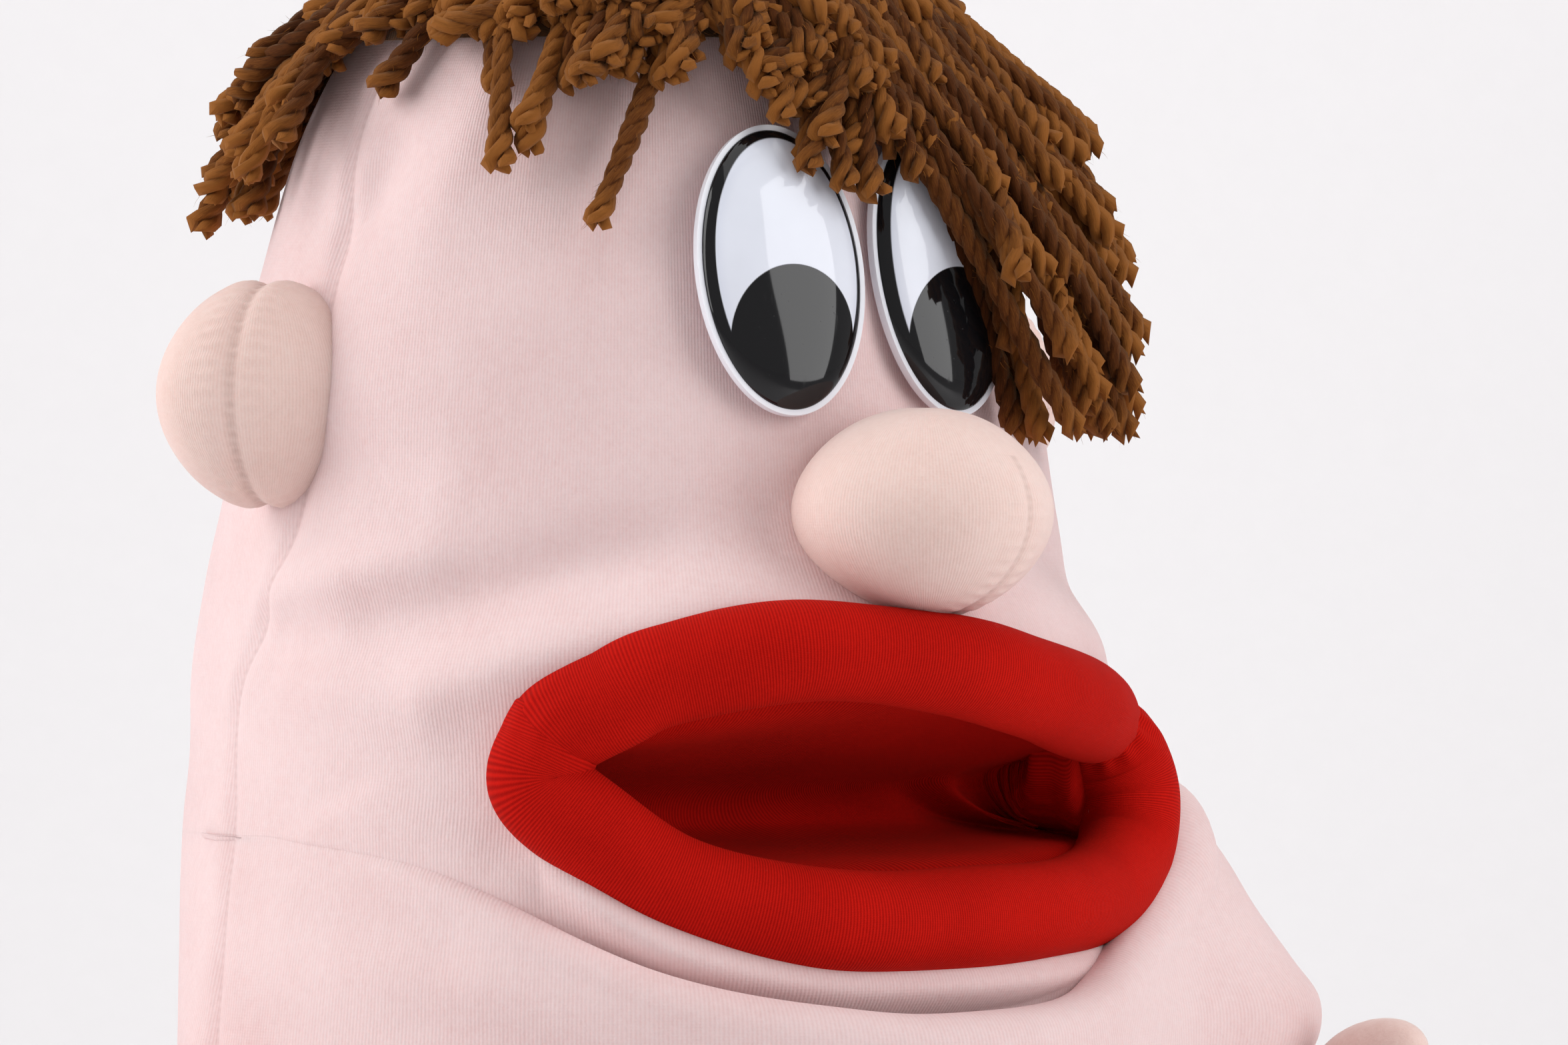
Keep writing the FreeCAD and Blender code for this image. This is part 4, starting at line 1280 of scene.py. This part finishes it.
# ------------------------------------------------------------------ arms
class PUPPET_OT_arms(Operator):
    """Stuffs the arms and their mitten hands"""
    bl_idname = "puppet.arms"
    bl_label = "Arms and hands"

    def hang(self, points, side):
        """Carries points of an arm that hangs at the left to its place: raised at the left,
        hanging and mirrored at the right."""
        x, y, z = (points[..., k] - SHOULDER[k] for k in range(3))
        if side > 0:
            c, s = math.cos(math.radians(-LEFT_ARM_RAISED)), math.sin(math.radians(-LEFT_ARM_RAISED))
            y, z = c * y - s * z, s * y + c * z
        placed = np.stack([x, y, z], -1) + np.asarray(SHOULDER, float)
        return placed * np.array([side, 1, 1])

    def arm(self, side):
        """Arm: a round bar from the sewn shoulder, over the ball of the shoulder and down, thinner
        towards the wrist, with a soft fold at the elbow."""
        knots = [(129, -4, 231, 12), (134, -4, 231.5, 15), (141, -4, 231.5, 19), (149, -4, 227, 23),
                 (153.6, -4, 216, 23.6), (154, -4, 200, 22), (154, -4, 180, 19.8), (154, -4, 160, 17.6),
                 (154, -4, 153, 16.8), (154, -4, 152, 12), (154, -4, 151.6, 0.1)]
        run = smooth_run(knots, np.linspace(0, len(knots) - 1, 120))
        path, size = run[:, :3], np.maximum(run[:, 3], 0.05)
        size[0] = 0.05
        turn = np.linspace(0, 2 * np.pi, 72, endpoint=False)
        s = run_length(path)
        crumple = 0.7 * bell((s - 62) / 12)[:, None] * np.sin(3 * turn + s[:, None] / 5)
        crumple = crumple + 0.8 * bell((s - 8) / 6)[:, None] * np.sin(12 * turn)
        full = np.maximum(size[:, None] + crumple * ease(size / 12)[:, None], 0.05)
        _, across, other = frame_along(path, (120, 60, 100))
        ring = across[:, None] * np.cos(turn)[:, None] + other[:, None] * np.sin(turn)[:, None]
        points = self.hang(path[:, None] + full[..., None] * ring, side)
        u = np.repeat(np.linspace(0, 2 * np.pi * 20, 73)[None], 120, 0)
        v = np.repeat(s[:, None], 73, 1)
        seam = np.broadcast_to(((turn - 1.1) * 20)[None], (120, 72))
        return points, np.stack([u, v], -1) * MM, seam

    def hand(self, side):
        """Mitten: two oval stuffed lobes, palm and thumb, grown into each other."""
        rows, columns = 60, 90
        fall = np.linspace(0, np.pi, rows)[:, None]
        turn = np.linspace(0, 2 * np.pi, columns, endpoint=False)[None]
        ball = np.stack([np.sin(fall) * np.cos(turn), np.sin(fall) * np.sin(turn),
                         np.cos(fall) + 0 * turn], -1)
        palm = ball * np.array(PALM_HALF) + np.array(PALM_AT)
        tilt = math.radians(THUMB_TILT)
        thumb = ball * np.array(THUMB_HALF)
        y, z = thumb[..., 1].copy(), thumb[..., 2].copy()
        thumb[..., 1] = math.cos(tilt) * y - math.sin(tilt) * z
        thumb[..., 2] = math.sin(tilt) * y + math.cos(tilt) * z
        thumb += np.array(THUMB_AT)
        quads, _, _ = grid_faces(rows, columns, True)
        both = np.concatenate([palm.reshape(-1, 3), thumb.reshape(-1, 3)])
        faces = np.concatenate([quads, quads + rows * columns])
        return self.hang(both, side), faces

    def execute(self, context):
        cloth = context.scene.puppet.cloth
        for name, side in (("left", 1), ("right", -1)):
            points, uv, seam = self.arm(side)
            arm = surface(f"arm_{name}_tube", points, uv, wrap=True, flip=side > 0, values={"seam": seam})
            dress(arm, pink_velour(cloth))
            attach(arm, f"arm_{name}")
            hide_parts(f"arm_{name}_cover")
            both, faces = self.hand(side)
            hand = new_object(f"hand_{name}_mitten", both, faces)
            merge = hand.modifiers.new("merge", "REMESH")
            merge.mode = "VOXEL"
            merge.voxel_size = 1.3 * MM
            soften = hand.modifiers.new("soften", "SMOOTH")
            soften.iterations = 6
            bake_modifiers(hand)
            dress(hand, shared("hand velour", lambda n: hand_velour(n, cloth)))
            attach(hand, f"arm_{name}")
            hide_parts(f"hand_{name}_cover")
        return {"FINISHED"}


def bake_modifiers(obj):
    """Applies a piece's modifiers to its mesh."""
    graph = bpy.context.evaluated_depsgraph_get()
    made = bpy.data.meshes.new_from_object(obj.evaluated_get(graph))
    obj.modifiers.clear()
    obj.data = made
    obj.data.polygons.foreach_set("use_smooth", np.ones(len(made.polygons), bool))


def hand_velour(name, cloth):
    """Velour of the mittens: the same pile as the nose, without a map to follow."""
    paint = Paint(name)
    place = paint.place()
    pile = paint.noise(1500, place, 2.0, 0.6)
    tufts = paint.noise(420, place, 3.0, 0.6)
    nap = paint.noise(26, place, 4.0, 0.6)
    # painted shade: the colour falls towards the peach shade colour where pile and tufts lie low, with nap
    # patches that differ at random
    share = 0.34 + pile * 0.2 + tufts * 0.26 + nap * 0.4
    tone = paint.mix(paint.step(share, 0.42, 0.98), rgb(cloth.peach_shade), rgb(cloth.peach))
    normal = paint.bump(pile * 0.6 + tufts * 0.9, 0.42, 0.3)
    return paint.finish(base_color=tone, roughness=0.92, normal=normal, sheen_weight=0.55,
                        sheen_roughness=0.45, specular_ior_level=0.15)


# ------------------------------------------------------------------ the pieces inside
class PUPPET_OT_inside(Operator):
    """Finishes the linings, pads, fillings and cuff that the frame already holds"""
    bl_idname = "puppet.inside"
    bl_label = "Inner pieces"

    def execute(self, context):
        cloth = context.scene.puppet.cloth
        makers = {
            "lining_cloth": lambda n: plain_weave(n, (0.84, 0.66, 0.66), 0.9),
            "fibre_filling": lambda n: foam_finish(n, (0.90, 0.90, 0.88)),
            "foam": lambda n: foam_finish(n, (0.88, 0.84, 0.70)),
            "wig_cloth": lambda n: plain_weave(n, (0.16, 0.07, 0.02), 1.2),
            "pink_velour": lambda n: hem_velour(n, cloth),
            "red_jersey": lambda n: plain_weave(n, (0.5, 0.01, 0.01), 0.7),
            "peach_velour": lambda n: hand_velour(n, cloth),
            "brown_yarn": lambda n: plain_weave(n, (0.16, 0.07, 0.02), 1.2),
        }
        slots = {row["node"]: row["material_slot"] for row in frame["record"]["subparts"]}
        for node, slot in slots.items():
            if slot in makers:
                material = shared(f"{slot} inside", makers[slot])
                mesh = frame["nodes"][node].data
                mesh.materials.clear()
                mesh.materials.append(material)
        return {"FINISHED"}


def hem_velour(name, cloth):
    """Velour of the hem band, with two rows of stitches round it."""
    paint = Paint(name)
    place = paint.place()
    parts = paint.node("ShaderNodeSeparateXYZ", {}, {0: place}, out=None)
    x, y, z = (Field(paint, parts.outputs[k]) for k in range(3))
    round_the_hem = paint.maths("ARCTAN2", y, x)
    ribs = paint.wave(round_the_hem * (COVER_RADIUS * 2 * math.pi / cloth.rib)) * 0.5 + 0.5
    rows = paint.step(paint.wave((z - 0.004) * (2 * math.pi / 0.006)), 0.90, 0.98)
    stitches = rows * paint.step(paint.wave(round_the_hem * 260), -0.2, 0.2)
    pile = paint.noise(900, place, 3.0, 0.6)
    # painted shade: darker towards the pink shade colour where ribs and pile lie low
    tone = paint.mix(paint.step(ribs * 0.25 + pile, 0.3, 0.9), rgb(cloth.pink_shade), rgb(cloth.pink))
    tone = paint.mix(stitches * 0.6, tone, (0.96, 0.86, 0.86))
    normal = paint.bump(ribs * 0.4 + pile * 0.8 - stitches, 0.45, 0.3)
    return paint.finish(base_color=tone, roughness=0.92, normal=normal, sheen_weight=0.5,
                        sheen_roughness=0.45, specular_ior_level=0.15)


# ------------------------------------------------------------------ stage
def softbox(name, at, aim, size, power, colour=(1, 1, 1)):
    """Large square lamp at a place, turned to a point."""
    light = bpy.data.lights.new(name, "AREA")
    light.shape = "RECTANGLE"
    light.size, light.size_y = size
    light.energy = power
    light.color = colour
    obj = bpy.data.objects.new(name, light)
    obj.location = at
    obj.rotation_euler = (Vector(aim) - Vector(at)).to_track_quat("-Z", "Y").to_euler()
    bpy.context.collection.objects.link(obj)
    return obj


def around(azimuth, distance, height):
    """Place at an azimuth from the front, a distance from the axis and a height, in metres."""
    a = math.radians(azimuth)
    return (distance * math.sin(a), -distance * math.cos(a), height)


class PUPPET_OT_stage(Operator):
    """Lays the pale floor and backdrop, sets the soft lamps and the camera"""
    bl_idname = "puppet.stage"
    bl_label = "Stage"

    def execute(self, context):
        stage = context.scene.puppet.stage
        self.backdrop(stage)
        self.lamps(stage)
        self.camera(context, stage)
        return {"FINISHED"}

    def backdrop(self, stage):
        """Pale sweep: flat floor that curves up into a wall far behind, as seen from the camera."""
        quarter = np.radians(np.linspace(0, 90, 40))
        floor = np.stack([np.linspace(-2500, 1600, 20), np.zeros(20)], -1)
        curve = np.stack([1600 + 900 * np.sin(quarter), 900 - 900 * np.cos(quarter)], -1)
        wall = np.stack([np.full(20, 2500.0), np.linspace(900, 3600, 20)], -1)
        profile = np.concatenate([floor, curve[1:], wall[1:]])
        back = math.radians(stage.azimuth)
        width = np.linspace(-3200, 3200, 30)
        away = np.array([-math.sin(back), math.cos(back), 0])
        aside = np.array([math.cos(back), math.sin(back), 0])
        points = (profile[:, None, :1] * away + profile[:, None, 1:] * np.array([0, 0, 1])
                  + width[None, :, None] * aside)
        uv = np.zeros((*points.shape[:2], 2))
        sweep = surface("backdrop", points, uv, flip=True)
        paint = Paint("backdrop paper")
        grain = paint.noise(60, paint.place(), 3.0, 0.6)
        tone = paint.mix(grain, (0.80, 0.785, 0.795), (0.82, 0.805, 0.815))
        sweep.data.materials.append(paint.finish(base_color=tone, roughness=0.95))

    def lamps(self, stage):
        aim = (0, 0, 0.38)
        softbox("lamp_left", around(stage.azimuth - 74, 1.25, 0.85), aim, (1.0, 1.3), 14)
        softbox("lamp_right", around(stage.azimuth + 64, 1.35, 0.75), aim, (0.8, 1.2), 10)
        softbox("lamp_top", (0, -0.2, 1.9), aim, (1.6, 1.6), 9)
        behind = around(stage.azimuth + 180, 2.2, 1.0)
        for name, turn in (("lamp_wall_left", 146), ("lamp_wall_right", -146)):
            softbox(name, around(stage.azimuth + turn, 1.3, 1.7), behind, (0.6, 0.6), 10)
        world = bpy.data.worlds.new("soft room")
        world.use_nodes = True
        world.node_tree.nodes["Background"].inputs[0].default_value = (1, 0.985, 0.99, 1)
        world.node_tree.nodes["Background"].inputs[1].default_value = 0.36
        bpy.context.scene.world = world
        bpy.context.scene.view_settings.view_transform = "Standard"

    def camera(self, context, stage):
        """Long lens at the viewing angle; the aim is right of the mouth, at eye-nose height."""
        aim = Vector((28.4, -22.2, 380)) * MM
        a, e = math.radians(stage.azimuth), math.radians(stage.elevation)
        towards = Vector((math.sin(a) * math.cos(e), -math.cos(a) * math.cos(e), math.sin(e)))
        data = bpy.data.cameras.new("camera")
        data.sensor_width = 36
        data.lens = 36 * stage.distance / stage.across
        camera = bpy.data.objects.new("camera", data)
        camera.location = aim + towards * stage.distance
        camera.rotation_euler = (-towards).to_track_quat("-Z", "Y").to_euler()
        context.collection.objects.link(camera)
        context.scene.camera = camera


# ------------------------------------------------------------------ panel and registration
OPERATORS = (PUPPET_OT_stage, PUPPET_OT_inside, PUPPET_OT_body, PUPPET_OT_throat, PUPPET_OT_head,
             PUPPET_OT_lips, PUPPET_OT_lining, PUPPET_OT_nose, PUPPET_OT_ears,
             PUPPET_OT_eyes, PUPPET_OT_hair, PUPPET_OT_arms)
GROUPS = (PuppetCloth, PuppetStuffing, PuppetYarn, PuppetStage, PuppetSettings)


class PUPPET_PT_panel(Panel):
    """Lists the settings and the steps in order"""
    bl_label = "Moving mouth puppet"
    bl_idname = "PUPPET_PT_panel"
    bl_space_type = "VIEW_3D"
    bl_region_type = "UI"
    bl_category = "Puppet"

    def draw(self, context):
        puppet = context.scene.puppet
        for group in (puppet.cloth, puppet.stuffing, puppet.yarn, puppet.stage):
            box = self.layout.box()
            for key in group.bl_rna.properties.keys():
                if key not in ("rna_type", "name"):
                    box.prop(group, key)
        for operator in OPERATORS:
            self.layout.operator(operator.bl_idname)


def register():
    for cls in (*GROUPS, *OPERATORS, PUPPET_PT_panel):
        bpy.utils.register_class(cls)
    bpy.types.Scene.puppet = PointerProperty(type=PuppetSettings)


def unregister():
    del bpy.types.Scene.puppet
    for cls in reversed((*GROUPS, *OPERATORS, PUPPET_PT_panel)):
        bpy.utils.unregister_class(cls)


def main():
    """Makes the whole puppet."""
    register()
    for operator in OPERATORS:
        group, name = operator.bl_idname.split(".")
        getattr(getattr(bpy.ops, group), name)()


if __name__ == "__main__":
    main()
